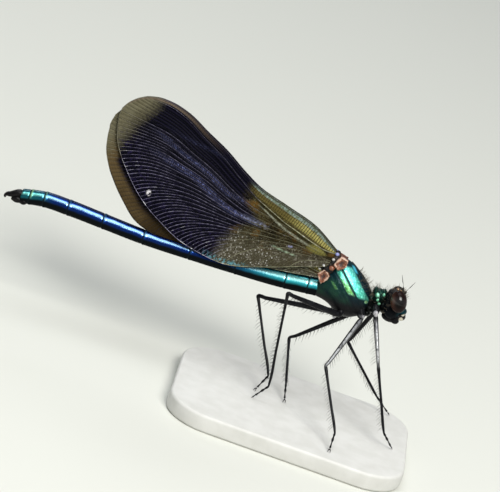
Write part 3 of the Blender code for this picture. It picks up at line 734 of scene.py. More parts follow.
# Painted light: the pale crest colour is a painted highlight along the upper side, the darker crown on top is
# painted shade, and the black belly is deepened by painted shade.
belly_and_shade = lit.fade(0.24, -0.30)
painted_highlight_colour = tail.mix(fore.mix((0.22, 0.40, 0.60), (0.42, 0.92, 0.92)), (0.18, 0.56, 0.50))
sheen = tail.mix(fore.mix((0.006, 0.030, 0.19), (0.035, 0.48, 0.56)), (0.015, 0.15, 0.19))
shaded_crown = tail.mix(fore.mix((0.003, 0.012, 0.070), (0.003, 0.035, 0.060)), (0.004, 0.040, 0.055))
green = tail.mix((0.02, 0.10, 0.16), (0.20, 0.36, 0.16))
painted_sheen_streak = lit.fade(fore * -0.15 + 0.22, 0.42) * lit.fade(fore * 0.12 + 0.72, 0.52)
painted_sheen_streak = painted_sheen_streak * (body.noise(1.4, 4.0).fade(0.25, 0.5) * 0.5 + 0.5)
colour = layers(lit.fade(0.92, 0.70).mix(shaded_crown, sheen), (painted_sheen_streak, painted_highlight_colour), (belly_and_shade, (0.0035, 0.005, 0.006)),
                (rims * height.fade(-0.2, 0.3) * (tail * 0.3 + 0.4), green),
                (joints * 0.9, (0.006, 0.010, 0.012)))
drawn_out = body.add("ShaderNodeMapping", {"Vector": body, "Scale": (2.0, 9.0, 9.0)})
skin.wear(colour, drawn_out.noise(3.0, 3.0) * 0.5 + body.noise(5.0, 4.0), 0.015, 0.4,
          Metallic=(1 - belly_and_shade) * (1 - joints * 0.8) * (0.9 - fore * 0.35),
          Roughness=belly_and_shade * 0.2 + rims * 0.25 + 0.22 + body.noise(2.5) * 0.10)
settle(close_up(formed("abdomen_shell", 420, 56, abdomen_place)), skin, "blue_metal",
       *["abdomen_%d" % (number + 1) for number in range(len(SEGMENT_LENGTHS))])


# Claspers
# Two upper pincers that curve in and down, toothed on their outer edge, and two short lower hooks.
# Hard black horn on the last ring. Knots are measured from the tail's end: ahead, out, up, radius.
UPPER_CLASPER = ((0.40, 0.34, 0.32, 0.34), (-0.15, 0.42, 0.28, 0.40), (-0.70, 0.50, 0.06, 0.36),
                 (-1.15, 0.50, -0.12, 0.27), (-1.48, 0.44, -0.20, 0.21), (-1.64, 0.38, -0.40, 0.14),
                 (-1.56, 0.32, -0.62, 0.05))
LOWER_CLASPER = ((0.95, 0.34, -0.36, 0.24), (0.60, 0.36, -0.48, 0.38), (0.20, 0.35, -0.44, 0.34),
                 (-0.15, 0.36, -0.42, 0.42), (-0.58, 0.38, -0.46, 0.34), (-0.86, 0.38, -0.54, 0.12))
TEETH = ((0.22, 0.34), (0.36, 0.40), (0.50, 0.34), (0.63, 0.26))      # share of the way, reach
TAIL_X, TAIL_Z = ABDOMEN_KNOTS[-1][1:]

for side_name, side in SIDES:
    upper, lower = [[(TAIL_X + ahead, out * side, TAIL_Z + up, radius) for ahead, out, up, radius in knots]
                    for knots in (UPPER_CLASPER, LOWER_CLASPER)]
    lines = [curve_through(upper, 40)]
    for share, reach in TEETH:
        root = curve_through(upper, 60)[0][int(share * 59)]
        top = root + np.array((-0.14, 0.30 * side, 1.0)) * reach
        lines.append(([root, root * 0.3 + top * 0.7, top], [0.16, 0.13, 0.03]))
    settle(rods("upper_clasper_" + side_name, lines, 12), black_horn, "black_shell", "cercus_" + side_name)
    settle(rods("lower_clasper_" + side_name, [curve_through(lower, 20)], 12), black_horn, "black_shell",
           "paraproct_" + side_name)


# Legs
# Long black stilts: a stout hip piece, a pale-flecked ring, a thick thigh, a thin shin and a foot of
# three joints with two claws, all set with long stiff bristles that comb the air for prey.
HIPS = {
    "front_right": (4.0, -1.25, -1.45),
    "middle_right": (2.7, -1.3, -2.4),
    "hind_right": (0.2, -1.35, -2.75),
    "front_left": (4.0, 1.25, -1.45),
    "middle_left": (2.2, 1.3, -1.95),
    "hind_left": (0.2, 1.35, -2.8),
}
HIP_ROOTS = {"front": (3.8, 0.55, -0.6), "middle": (2.2, 0.7, -1.4), "hind": (0.2, 0.7, -1.8)}
LEGS = {
    "front_right": ((6.3, -4.0, 8.0), (9.4, -6.0, 1.5), (10.7, -5.5, 0.25)),
    "middle_right": ((0.6, -7.1, 7.0), (3.9, -11.0, 1.5), (3.9, -12.6, 0.25)),
    "hind_right": ((-6.1, -5.5, 13.0), (-4.5, -5.4, 1.9), (-5.6, -4.9, 0.25)),
    "front_left": ((2.6, 3.0, 7.1), (8.0, 4.2, 1.6), (9.9, 4.4, 0.25)),
    "middle_left": ((-3.9, 2.1, 5.4), (-2.6, -1.3, 1.4), (-2.2, -2.8, 0.25)),
    "hind_left": ((-8.9, 1.9, 9.0), (-4.8, -1.7, 1.7), (-5.6, -2.4, 0.25)),
}
FOOT_LEVEL = BASE_TOP + 0.3
HIP_FLECKS = {"front": (-0.01, 0.27, 0.11, 0.30), "middle": (0.04, 0.32, 0.30, 0.17),
              "hind": (-0.62, 0.27, -0.35, 0.14)}         # from the hip: ahead, outwards, up, size
THIGH = ((0.0, 0.26), (0.04, 0.33), (0.20, 0.34), (0.60, 0.29), (0.90, 0.23), (1.0, 0.22))
SHIN = ((0.03, 0.20), (0.12, 0.17), (0.6, 0.15), (0.97, 0.13))
SLIMNESS = {"front": 0.80, "middle": 0.84, "hind": 1.0}
FOOT = ((0.03, 0.11), (0.18, 0.13), (0.22, 0.10), (0.50, 0.13), (0.54, 0.10), (0.93, 0.12))
HIGHLIGHT_SIDE = np.array((0.0, -0.90, 0.0))       # the painted highlight stripe of the thighs lies on this side
BRISTLE_LENGTH = (0.45, 0.95)
BRISTLE_RADIUS = 0.024
HIP_PIECE = ((0.0, 0.42), (0.45, 0.46), (0.85, 0.40))
LEG_POINTS, LEG_SIDES = 200, 18
CLAW = ((0.0, 0.0, 0.0, 0.07), (0.18, 0.10, -0.02, 0.05),
        (0.34, 0.16, 0.10, 0.015))          # from the toe: on, aside, down, radius
TOE_DROP = 0.16            # the tip of the foot sinks by this
BRISTLE_ROWS = ((0.30, 16), (0.15, 20))     # radius of thigh and shin, and how many along them
BRISTLE_LEAN = 0.55        # they lean this much towards the foot

leg_shell = Finish("leg_shell", roughness=0.27, Specular_IOR_Level=0.11)
place = leg_shell.place()
x, _, z = leg_shell.place(POSE).axes()
# Painted highlight: a pale grey stripe along the lit outer side of the front and middle right thighs, lighter
# lower down, standing in for the lamp's reflection.
painted_leg_highlight = leg_shell.kept("outward").fade(0.48, 0.82) * (x - z * 0.3).fade(1.3, 2.2)
painted_leg_highlight = painted_leg_highlight * (z - x * 0.23).fade(-8.6, -7.9) * z.fade(-1.9, -2.4)
painted_leg_highlight = painted_leg_highlight * place.noise(1.8, 4.0).fade(0.30, 0.55)
dark = place.clouds(1.6, 4.0, 0.3, 0.7, (0.003, 0.003, 0.004), (0.010, 0.011, 0.013))
pale = z.fade(-2.5, -5.0).mix((0.22, 0.225, 0.24), (0.42, 0.43, 0.44))
leg_shell.wear((painted_leg_highlight * 0.95).mix(dark, pale), place.noise(7.0, 3.0), 0.03, 0.6, Metallic=painted_leg_highlight * 0.4)
fleck_shell = Finish("hip_fleck", roughness=0.5)
place = fleck_shell.place()
fleck_shell.wear(place.clouds(4.0, 3.0, 0.35, 0.6, (0.13, 0.13, 0.15), (0.42, 0.41, 0.43)),
                 place.noise(8.0, 3.0), 0.03, 0.6)

random.seed(11)
upright = POSE.inverted()
down = upright.to_3x3() @ Vector((0, 0, -1))
under_body = Vector((BODY_ORIGIN.x, BODY_ORIGIN.y, FOOT_LEVEL))
for leg_name, places in LEGS.items():
    pair = leg_name.split("_")[0]
    hip, hip_root = Vector(HIPS[leg_name]), Vector(HIP_ROOTS[pair])
    hip_root.y = math.copysign(hip_root.y, hip.y)
    knee, ankle, toe = [upright @ (Vector(place) + under_body) for place in places]
    forward = (toe - ankle).normalized()
    toe = toe + down * TOE_DROP
    thigh = [(share, radius * SLIMNESS[pair]) for share, radius in THIGH]
    knots = (stations(hip_root, hip, HIP_PIECE) + stations(hip, knee, thigh) + stations(knee, ankle, SHIN)
             + stations(ankle, toe, FOOT))
    parts = [curve_through(knots, LEG_POINTS)]
    spread = forward.cross(down).normalized()
    for turn in (-1, 1):
        parts.append(curve_through([(*(toe + forward * on + spread * aside * turn + down * drop), radius)
                                    for on, aside, drop, radius in CLAW], 8))
    leg = rods("leg_" + leg_name, parts, LEG_SIDES)
    facing = np.array([normal.vector for normal in leg.data.vertex_normals])
    keep_numbers(leg.data, "outward", facing @ HIGHLIGHT_SIDE * math.copysign(1.0, -hip.y))
    settle(leg, leg_shell, "black_shell",
           *["%s_%s" % (bit, leg_name) for bit in ("coxa", "femur", "tibia", "tarsus")])
    bristles = []
    for start, end, (radius, count) in zip((hip, knee), (knee, ankle), BRISTLE_ROWS):
        axis = (end - start).normalized()
        hang = (down - axis * down.dot(axis)).normalized()
        wide = axis.cross(hang)
        for number in range(count):
            for row in (-1, 1):
                root = start.lerp(end, 0.10 + 0.84 * (number + 0.3 * random.random()) / count)
                tilt = row * (0.5 + 0.3 * random.random())
                out = (hang * math.cos(tilt) + wide * math.sin(tilt) + axis * BRISTLE_LEAN).normalized()
                reach = random.uniform(*BRISTLE_LENGTH)
                root = root + (out - axis * 0.4) * radius * 0.7
                bristles.append(([root, root + out * reach * 0.5, root + out * reach + axis * reach * 0.12],
                                 [BRISTLE_RADIUS, BRISTLE_RADIUS * 0.7, 0.004]))
    ahead, outwards, above, size = HIP_FLECKS[pair]
    fleck_at = hip + Vector((ahead, math.copysign(outwards, hip.y), above))
    lower_at = fleck_at + Vector((0.10, 0.0, -0.8 * size))
    fleck = fused("hip_fleck_" + leg_name, [(fleck_at, (size, size * 0.8, size)),
                                            (lower_at, (size * 0.7, size * 0.6, size * 0.6))], 0.04, 2)
    settle(fleck, fleck_shell, "black_shell")
    settle(rods("bristles_" + leg_name, bristles, 4), black_horn, "black_shell")


# Wing hinges
# Small dished plates of rusty orange horn with pale raised rims, set in black skin where each wing
# joins the thorax, with pearly white and lilac knuckles between them.
PLATES = {"front": ((-2.18, 2.45), (-1.55, 3.72), (-0.62, 3.50), (-0.72, 2.68), (-1.44, 2.05)),
          "rear": ((-3.50, 1.02), (-2.88, 1.85), (-2.12, 1.12), (-2.88, -0.10))}
PLATE_OUT = {"front": 1.95, "rear": 1.62}
KNUCKLES = (((-2.30, 1.98, 3.12), 0.16), ((-3.16, 1.96, 2.18), 0.18), ((-3.50, 1.75, 1.66), 0.12),
            ((-2.05, 1.74, 3.78), 0.20), ((-2.20, 1.84, 2.12), 0.28))
BED = (((-1.90, 1.50, 3.62), 0.34), ((-2.10, 1.52, 3.25), 0.40), ((-2.30, 1.52, 2.80), 0.42),
       ((-2.52, 1.50, 2.35), 0.42), ((-2.75, 1.45, 1.85), 0.42), ((-3.00, 1.22, 1.35), 0.42),
       ((-3.22, 1.10, 0.85), 0.40), ((-1.95, 1.40, 2.60), 0.50), ((-2.35, 1.40, 1.90), 0.50))


def plate_place(corners, side, out):
    count = len(corners)
    centre = sum((Vector(corner) for corner in corners), Vector((0, 0))) / count

    def place(u, v):
        turn = v * count
        first, second = Vector(corners[int(turn) % count]), Vector(corners[(int(turn) + 1) % count])
        corner = first.lerp(second, turn - int(turn))
        away = corner - centre
        round_out = 0.80 + 0.07 * math.sin(10 * math.pi * v + 1.0) + 0.06 * math.sin(22 * math.pi * v)
        corner = centre + away * 0.66 + away.normalized() * round_out * 0.34
        spread = min(1.0, u / 0.8)
        flat = centre.lerp(corner, spread * (0.94 if u <= 0.8 else 1.0))
        if u <= 0.8:
            lift = 0.16 * math.exp(-((spread - 0.86) / 0.10) ** 2) - 0.10 * math.exp(-(spread / 0.45) ** 2)
        else:
            lift = -0.10 - 0.55 * (u - 0.8) / 0.2
            flat = centre.lerp(corner, 1.0 if u < 0.95 else 0.2)
        return Vector((flat.x, side * (out + lift), flat.y))
    return place


plate_horn = Finish("hinge_plate", roughness=0.42, Coat_Weight=0.3, Coat_Roughness=0.2)
place = plate_horn.place()
spread = plate_horn.layout()[0] * 1.25
ragged = spread + place.noise(2.4, 4.0) * 0.9
colour = layers(ragged.fade(0.62, 1.22).mix((0.035, 0.007, 0.002), (0.22, 0.068, 0.028)),
                (place.noise(3.6, 3.0).fade(0.56, 0.66) * 0.6, (0.36, 0.17, 0.10)),
                (ragged.band(1.18, 1.50, 0.08) * place.noise(1.7).fade(0.40, 0.52), (0.68, 0.47, 0.36)),
                (spread.fade(1.02, 1.10), (0.10, 0.032, 0.016)))
plate_horn.wear(colour, place.noise(2.4, 5.0), 0.24)

hinge_skin = Finish("hinge_skin", roughness=0.42, Specular_IOR_Level=0.2)
place = hinge_skin.place()
hinge_skin.wear(place.clouds(2.0, 4.0, 0.45, 0.70, (0.005, 0.005, 0.006), (0.060, 0.040, 0.025)),
                place.noise(4.0, 4.0), 0.08, 0.8)

knuckle = Finish("hinge_knuckle", roughness=0.35, Coat_Weight=0.4)
place = knuckle.place(POSE)
x, _, z = place.axes()
colour = layers(place.clouds(3.0, 3.0, 0.3, 0.7, (0.30, 0.30, 0.30), (0.72, 0.72, 0.70)),
                (z.fade(3.30, 3.42), (0.24, 0.27, 0.55)),
                (x.fade(-2.75, -2.60) * z.fade(2.60, 2.50), (0.20, 0.065, 0.030)))
knuckle.wear(colour, place.noise(6.0, 3.0), 0.04, 0.6)

SOFT_PARTS = (("skin", hinge_skin, BED, (1.0, 0.9, 1.0), 0.06, 3),
              ("knuckles", knuckle, KNUCKLES, (1.2, 1.0, 1.0), 0.05, 2))
for side_name, side in SIDES:
    for plate_name, corners in PLATES.items():
        plate = formed("hinge_plate_%s_%s" % (plate_name, side_name), 24, 40,
                       plate_place(corners, side, PLATE_OUT[plate_name]))
        settle(close_up(plate), plate_horn, "rust_plate", "sclerite_%s_%s" % (plate_name, side_name))
    for part_name, finish, balls, stretch, voxel, rounds in SOFT_PARTS:
        lobes = [((x, y * side, z), [r * share for share in stretch]) for (x, y, z), r in balls]
        settle(fused("hinge_%s_%s" % (part_name, side_name), lobes, voxel, rounds), finish, "rust_plate")


# Wings
# Four broad blades of thin horn on fanned veins, closed over the back. A blue-black band covers all
# but the smoky olive root and a pale rim at the tip; the hind pair show a brown rim.
TIP = 28.9
FRONT_EDGE = ((0.0, -0.35), (3.4, -1.08), (7.4, -0.93), (11.3, -0.74), (13.8, -1.12), (16.6, -1.72),
              (19.6, -2.07), (22.6, -2.45), (24.9, -2.25), (26.7, -1.60), (27.8, -0.75), (28.5, 0.25),
              (28.8, 1.0), (TIP, 1.55))
FORE_TRAILING = ((0.0, 1.4), (1.0, 2.3), (2.2, 3.2), (5.0, 5.5), (8.8, 8.2), (12.6, 9.2), (15.2, 9.4),
                 (17.7, 9.1), (19.8, 8.7), (21.9, 8.0), (24.1, 6.9), (25.9, 5.8), (27.5, 4.35), (28.4, 2.95),
                 (28.78, 2.15), (TIP, 1.55))
HIND_TRAILING = ((0.0, 0.4), (1.2, 1.1), (2.0, 1.6), (3.2, 2.3), (5.0, 3.35), (6.5, 4.2), (8.8, 5.3),
                 (12.6, 7.0), (15.2, 8.25), (17.7, 9.05),
                 (19.8, 9.1), (21.9, 8.4), (24.1, 7.4), (25.9, 6.3), (27.5, 4.75), (28.4, 3.2), (28.78, 2.3),
                 (TIP, 1.55))
FOLD_HEIGHTS = (6.0, 1.0)
HINGE_SPREAD = (1.5, 8.0)
WINGS = {"forewing": ((-2.27, 3.55), 21.0, 1.0, FORE_TRAILING, (1.20, 2.20, 1.25)),
         "hindwing": ((-3.05, 1.05), 24.0, 1.01, HIND_TRAILING, (0.45, 1.45, 0.40))}
MEETING = 0.35             # share by which the blades draw together towards their tips
MEMBRANE = 0.05
VEIN_SPACING = 0.47        # between neighbouring veins where they meet the rim
VEIN_CROWDING = 0.25       # a vein ends where its neighbours come nearer than this
CROSS_SPACING = 0.42
LADDER_SPACING = 0.29
TRACE_STEP = 0.12          # between the points at which a vein is worked out
SHARE_SPAN = 30.0          # millimetres along the wing to one unit of its first map
FAN_SPAN = 40.0            # the same for the map of its veins
FAN_START = 5.0            # added to the marks on that map, so that none is below 0
GRID = (170, 72)           # faces of a membrane along and across the wing
NODE_PLACE = 11.1          # the notch in the front edge where the second vein ends
RADIUS_AWAY = ((0.0, 0.15), (1.4, 0.95), (3.0, 1.45), (6.0, 1.58), (10.0, 1.1), (12.0, 0.9), (20.0, 0.6),
               (27.0, 0.35))


class Blade:
    """A wing's outline and the run of its veins, in millimetres along it and across from the front."""

    def __init__(self, trailing):
        self.along = np.linspace(0.0, TIP, 900)
        self.front = smooth_line(FRONT_EDGE, self.along)[:, 0]
        self.rear = smooth_line(trailing, self.along)[:, 0]
        self.front_turn = np.minimum(np.arctan(np.gradient(self.front, self.along)), math.radians(6.0))
        self.rear_turn = np.arctan(np.gradient(self.rear, self.along))
        self.front_arc = self.arc(self.front)
        self.rear_arc = self.arc(self.rear)

    def arc(self, edge):
        """Distance along an edge from each place to the tip."""
        steps = np.hypot(np.diff(self.along), np.diff(edge))
        done = np.concatenate([[0.0], np.cumsum(steps)])
        return done[-1] - done

    def read(self, values, s):
        return np.interp(s, self.along, values)

    def width(self, s):
        return self.read(self.rear, s) - self.read(self.front, s)

    def share(self, s, c):
        """How far across the wing a point lies, 0 at the front edge and 1 at the trailing edge."""
        return np.clip((c - self.read(self.front, s)) / np.maximum(self.width(s), 1e-6), 0.0, 1.0)

    def heading(self, s, c):
        """Run of the veins: along the front edge there, and nearly square to the trailing edge here."""
        weight = self.share(s, c) ** 2
        lean = np.radians(8.0 + 62.0 * np.exp(-s / 8.0))
        out = self.read(self.rear_turn, s) + math.pi / 2 - lean
        return self.read(self.front_turn, s) * (1 - weight) + out * weight

    def trace(self, s, c, step):
        """Follows the veins from many points until they leave the blade; a negative step goes back."""
        s, c = np.array(s, float), np.array(c, float)
        path = [(s, c)]
        going = np.ones(s.shape, bool)
        for _ in range(int(42.0 / abs(step))):
            turn = self.heading(s, c)
            next_s, next_c = s + step * np.cos(turn), c + step * np.sin(turn)
            along_front = next_s < TIP - 4.4
            next_c = np.where(along_front, np.maximum(next_c, self.read(self.front, next_s) + 0.001), next_c)
            was = np.maximum(c - self.read(self.rear, s), self.read(self.front, s) - c)
            over = np.maximum(next_c - self.read(self.rear, next_s), self.read(self.front, next_s) - next_c)
            over = np.maximum(over, np.maximum(next_s - TIP, -next_s))
            short = np.where(over > 0, np.clip(-was / np.maximum(over - was, 1e-9), 0.0, 1.0), 1.0)
            s = np.where(going, s + (next_s - s) * short, s)
            c = np.where(going, c + (next_c - c) * short, c)
            going = going & (over <= 0)
            path.append((s, c))
            if not going.any():
                break
        return np.array(path)

    def mark(self, s, c):
        """Where on the rim a point's vein ends: distance from the tip, with the front edge as minus."""
        s = np.clip(s, 0.02, TIP - 0.02)
        inside = self.read(self.front, s) + self.width(s) * np.clip(self.share(s, c), 0.003, 0.997)
        path = self.trace(s, inside, 0.15)
        end_s, end_c = path[-1]
        run = np.hypot(np.diff(path[:, 0], axis=0), np.diff(path[:, 1], axis=0)).sum(axis=0)
        rim = np.where(self.share(end_s, end_c) < 0.5, -self.read(self.front_arc, end_s),
                       self.read(self.rear_arc, end_s))
        return rim, run

    def crowding(self, s, c):
        """Marks to the millimetre, square to the veins: 1 at the rim and many near the root."""
        turn, reach = self.heading(s, c), 0.06
        ahead, _ = self.mark(s - reach * np.sin(turn), c + reach * np.cos(turn))
        behind, _ = self.mark(s + reach * np.sin(turn), c - reach * np.cos(turn))
        return np.clip(np.abs(ahead - behind) / (2 * reach), 0.6, 40.0)


def blade_point(blade, s, c, mark, shape, side):
    """From along and across one wing to the animal's frame, with the soft pleats of its root."""
    root, axis, scale, _, reach = shape
    turn = math.radians(axis)
    x = root[0] - s * scale * math.cos(turn) - c * scale * math.sin(turn)
    z = root[1] + s * scale * math.sin(turn) - c * scale * math.cos(turn)
    fold = np.clip((FOLD_HEIGHTS[0] - z) / (FOLD_HEIGHTS[0] - FOLD_HEIGHTS[1]), 0.0, 1.0)
    fold = fold * fold * (3 - 2 * fold)
    spread = np.clip((s - HINGE_SPREAD[0]) / (HINGE_SPREAD[1] - HINGE_SPREAD[0]), 0.0, 1.0)
    low = reach[1] + (reach[2] - reach[1]) * spread * spread * (3 - 2 * spread)
    out = (reach[0] + (low - reach[0]) * fold) * (1 - MEETING * np.clip((s - 12.0) / 15.0, 0.0, 1.0))
    depth = 0.06 * np.clip(s / 4.0, 0, 1) * (0.25 + 0.75 * np.clip((15.0 - s) / 6.0, 0, 1))
    depth = depth * np.clip(4 * blade.share(s, c) * (1 - blade.share(s, c)), 0, 1)
    return x, side * (out + depth * np.sin(2 * math.pi * mark / (8 * VEIN_SPACING))), z


def radius_vein(blade, s):
    """Place of the stout third vein, beside the front edge and nearing it at the tip."""
    away = smooth_line(RADIUS_AWAY, s)[..., 0]
    return blade.read(blade.front, s) + np.minimum(away, 0.45 * blade.width(s))


def make_membrane(name, blade, shape, side):
    """A fine grid laid out between the blade's edges, given its thickness by Solidify."""
    bpy.ops.object.select_all(action="DESELECT")
    bpy.ops.mesh.primitive_grid_add(x_subdivisions=GRID[0], y_subdivisions=GRID[1], size=1.0)
    piece = bpy.context.object
    piece.name = name
    mesh = piece.data
    flat = np.array([vert.co for vert in mesh.vertices])
    u, v = flat[:, 0] + 0.5, flat[:, 1] + 0.5
    s = TIP * np.sin(np.clip(u, 0, 1) * math.pi / 2) ** 0.92
    c = blade.read(blade.front, s) + blade.width(s) * v
    mark, run = blade.mark(s, c)
    for vert, place in zip(mesh.vertices, zip(*blade_point(blade, s, c, mark, shape, side))):
        vert.co = place
    mesh.uv_layers[0].name = "wing_share"
    mesh.uv_layers.new(name="wing_veins")
    corner = np.array([loop.vertex_index for loop in mesh.loops])
    for layer, first, second in (("wing_share", s / SHARE_SPAN, v),
                                 ("wing_veins", (mark + FAN_START) / FAN_SPAN, run / FAN_SPAN)):
        mesh.uv_layers[layer].data.foreach_set("uv", np.column_stack([first[corner], second[corner]]).ravel())
    octave = np.log2(np.maximum(VEIN_CROWDING * blade.crowding(s, c) / VEIN_SPACING, 0.5))
    ladder = blade.width(s) * v / np.maximum(radius_vein(blade, s) - blade.read(blade.front, s), 0.05)
    keep_numbers(mesh, "octave", octave)
    keep_numbers(mesh, "ladder", np.clip(ladder, 0.0, 3.0))
    modify(piece, "SOLIDIFY", thickness=MEMBRANE, offset=0.0)
    return close_up(piece)


def vein_lines(blade):
    """All veins of one blade as (s, c, radius, tone) rows: rim, front veins, fan and the rungs
    between. The tone is 0 for a dark vein and 1 for a pale one."""
    even = TIP * np.sin(np.linspace(0.0, 1.0, 150) * math.pi / 2)
    second = np.linspace(0.6, NODE_PLACE, 60)
    gap = np.minimum(0.45, (NODE_PLACE - second) * 0.35) * np.clip(second / 2.5, 0, 1)
    lines = [(even, blade.read(blade.front, even), np.interp(even, (0, 12, TIP), (0.07, 0.06, 0.045)),
              np.interp(even, (0, 23, TIP), (0.05, 0.05, 0.5))),
             # The trailing rim is given a pale tone: a painted glint along the edge.
             (even, blade.read(blade.rear, even), np.interp(even, (0, 6, TIP), (0.035, 0.055, 0.045)),
              np.interp(even, (0, 0.8, 3.2, 4.5, 8, 22, TIP), (0.6, 1.0, 1.0, 0.6, 0.95, 0.95, 0.5))),
             (even, radius_vein(blade, even), np.interp(even, (0, 12, TIP), (0.085, 0.060, 0.030)),
              np.interp(even, (0, 2, 8, 10.5, 11.5, 21, 25, TIP),
                        (0.3, 0.8, 0.8, 0.5, 0.12, 0.12, 0.9, 0.9))),
             (second, blade.read(blade.front, second) + gap, np.full(60, 0.040), np.full(60, 0.1))]
    for place in np.arange(1.4, NODE_PLACE, LADDER_SPACING):
        ends = np.array((blade.read(blade.front, place), radius_vein(blade, place + 0.06)))
        lines.append((np.array((place, place + 0.06)), ends, np.full(2, 0.022), np.full(2, 0.05)))
    for number in range(-6, int(blade.rear_arc[0] / VEIN_SPACING)):
        rim_mark = VEIN_SPACING * (number + 0.5)
        edge, arc, inward = ((blade.front, blade.front_arc, 0.03) if rim_mark < 0
                             else (blade.rear, blade.rear_arc, -0.03))
        start = float(np.interp(-abs(rim_mark), -arc, blade.along))
        path = blade.trace([start], [float(blade.read(edge, start)) + inward], -TRACE_STEP)[:, :, 0]
        s, c = path[:, 0], path[:, 1]
        moving = np.concatenate([[True], np.hypot(np.diff(s), np.diff(c)) > 0.05])
        s, c = s[moving], c[moving]
        crowd, turn = blade.crowding(s, c), blade.heading(s, c)
        level = 0
        while level < 5 and number % 2 ** (level + 1) == 0:
            level += 1
        octave = np.ceil(np.log2(np.maximum(VEIN_CROWDING * crowd / VEIN_SPACING, 1.0)))
        clear = (octave <= level) & (c > radius_vein(blade, s) + 0.10)
        stop = len(s) if clear.all() else int(np.argmin(clear))
        if stop < 5:
            continue
        pick = np.unique(np.round(np.linspace(0, stop - 1, max(5, stop // 4))).astype(int))
        rearward = np.interp(blade.share(s, c), (0.0, 0.35, 0.6, 0.85, 1.0), (0.16, 0.28, 0.55, 0.85, 1.0))
        rearward = rearward * np.interp(s, (9.0, 11.5), (0.25 + 0.12 * level, 1.0)) * random.uniform(0.7, 1.0)
        taper = np.interp(pick, (0, 0.7 * stop, stop), (0.85, 1.0, 0.6))
        lines.append((s[pick], c[pick], (0.046 + 0.005 * level) * taper, rearward[pick]))
        for i in range(3 + 2 * (number % 2), stop - 1, int(CROSS_SPACING / TRACE_STEP)):
            away = VEIN_SPACING * 2 ** octave[i] / crowd[i]
            side_s, side_c = s[i] + away * np.sin(turn[i]), c[i] - away * np.cos(turn[i])
            low, high = blade.read(blade.front, side_s) + 0.1, blade.read(blade.rear, side_s)
            if side_s < TIP - 0.2 and low < side_c < high:
                lines.append((np.array((s[i], side_s)), np.array((c[i], side_c)), np.full(2, 0.018),
                              np.full(2, 0.45 * rearward[i])))
    return lines


def make_veins(name, blade, shape, side):
    """Round ribs along every vein of the blade."""
    rows = vein_lines(blade)
    s, c, radius = (np.concatenate([row[i] for row in rows]) for i in range(3))
    places = np.column_stack(blade_point(blade, s, c, blade.mark(s, c)[0], shape, side))
    cuts = np.cumsum([len(row[0]) for row in rows])[:-1]
    return rods(name, list(zip(np.split(places, cuts), np.split(radius, cuts))), 4, [row[3] for row in rows])


def nearness(mark, octave):
    """0 on a vein and 1 midway to the next, at whichever spacing the veins have here."""
    masks = [octave.fade(0.2, -0.2)] + [octave.band(level - 1, level, 0.2) for level in range(1, 5)]
    return sum(((mark / VEIN_SPACING - 0.5) / 2 ** level).maths("PINGPONG", 0.5) * 2.0 * mask
               for level, mask in enumerate(masks))


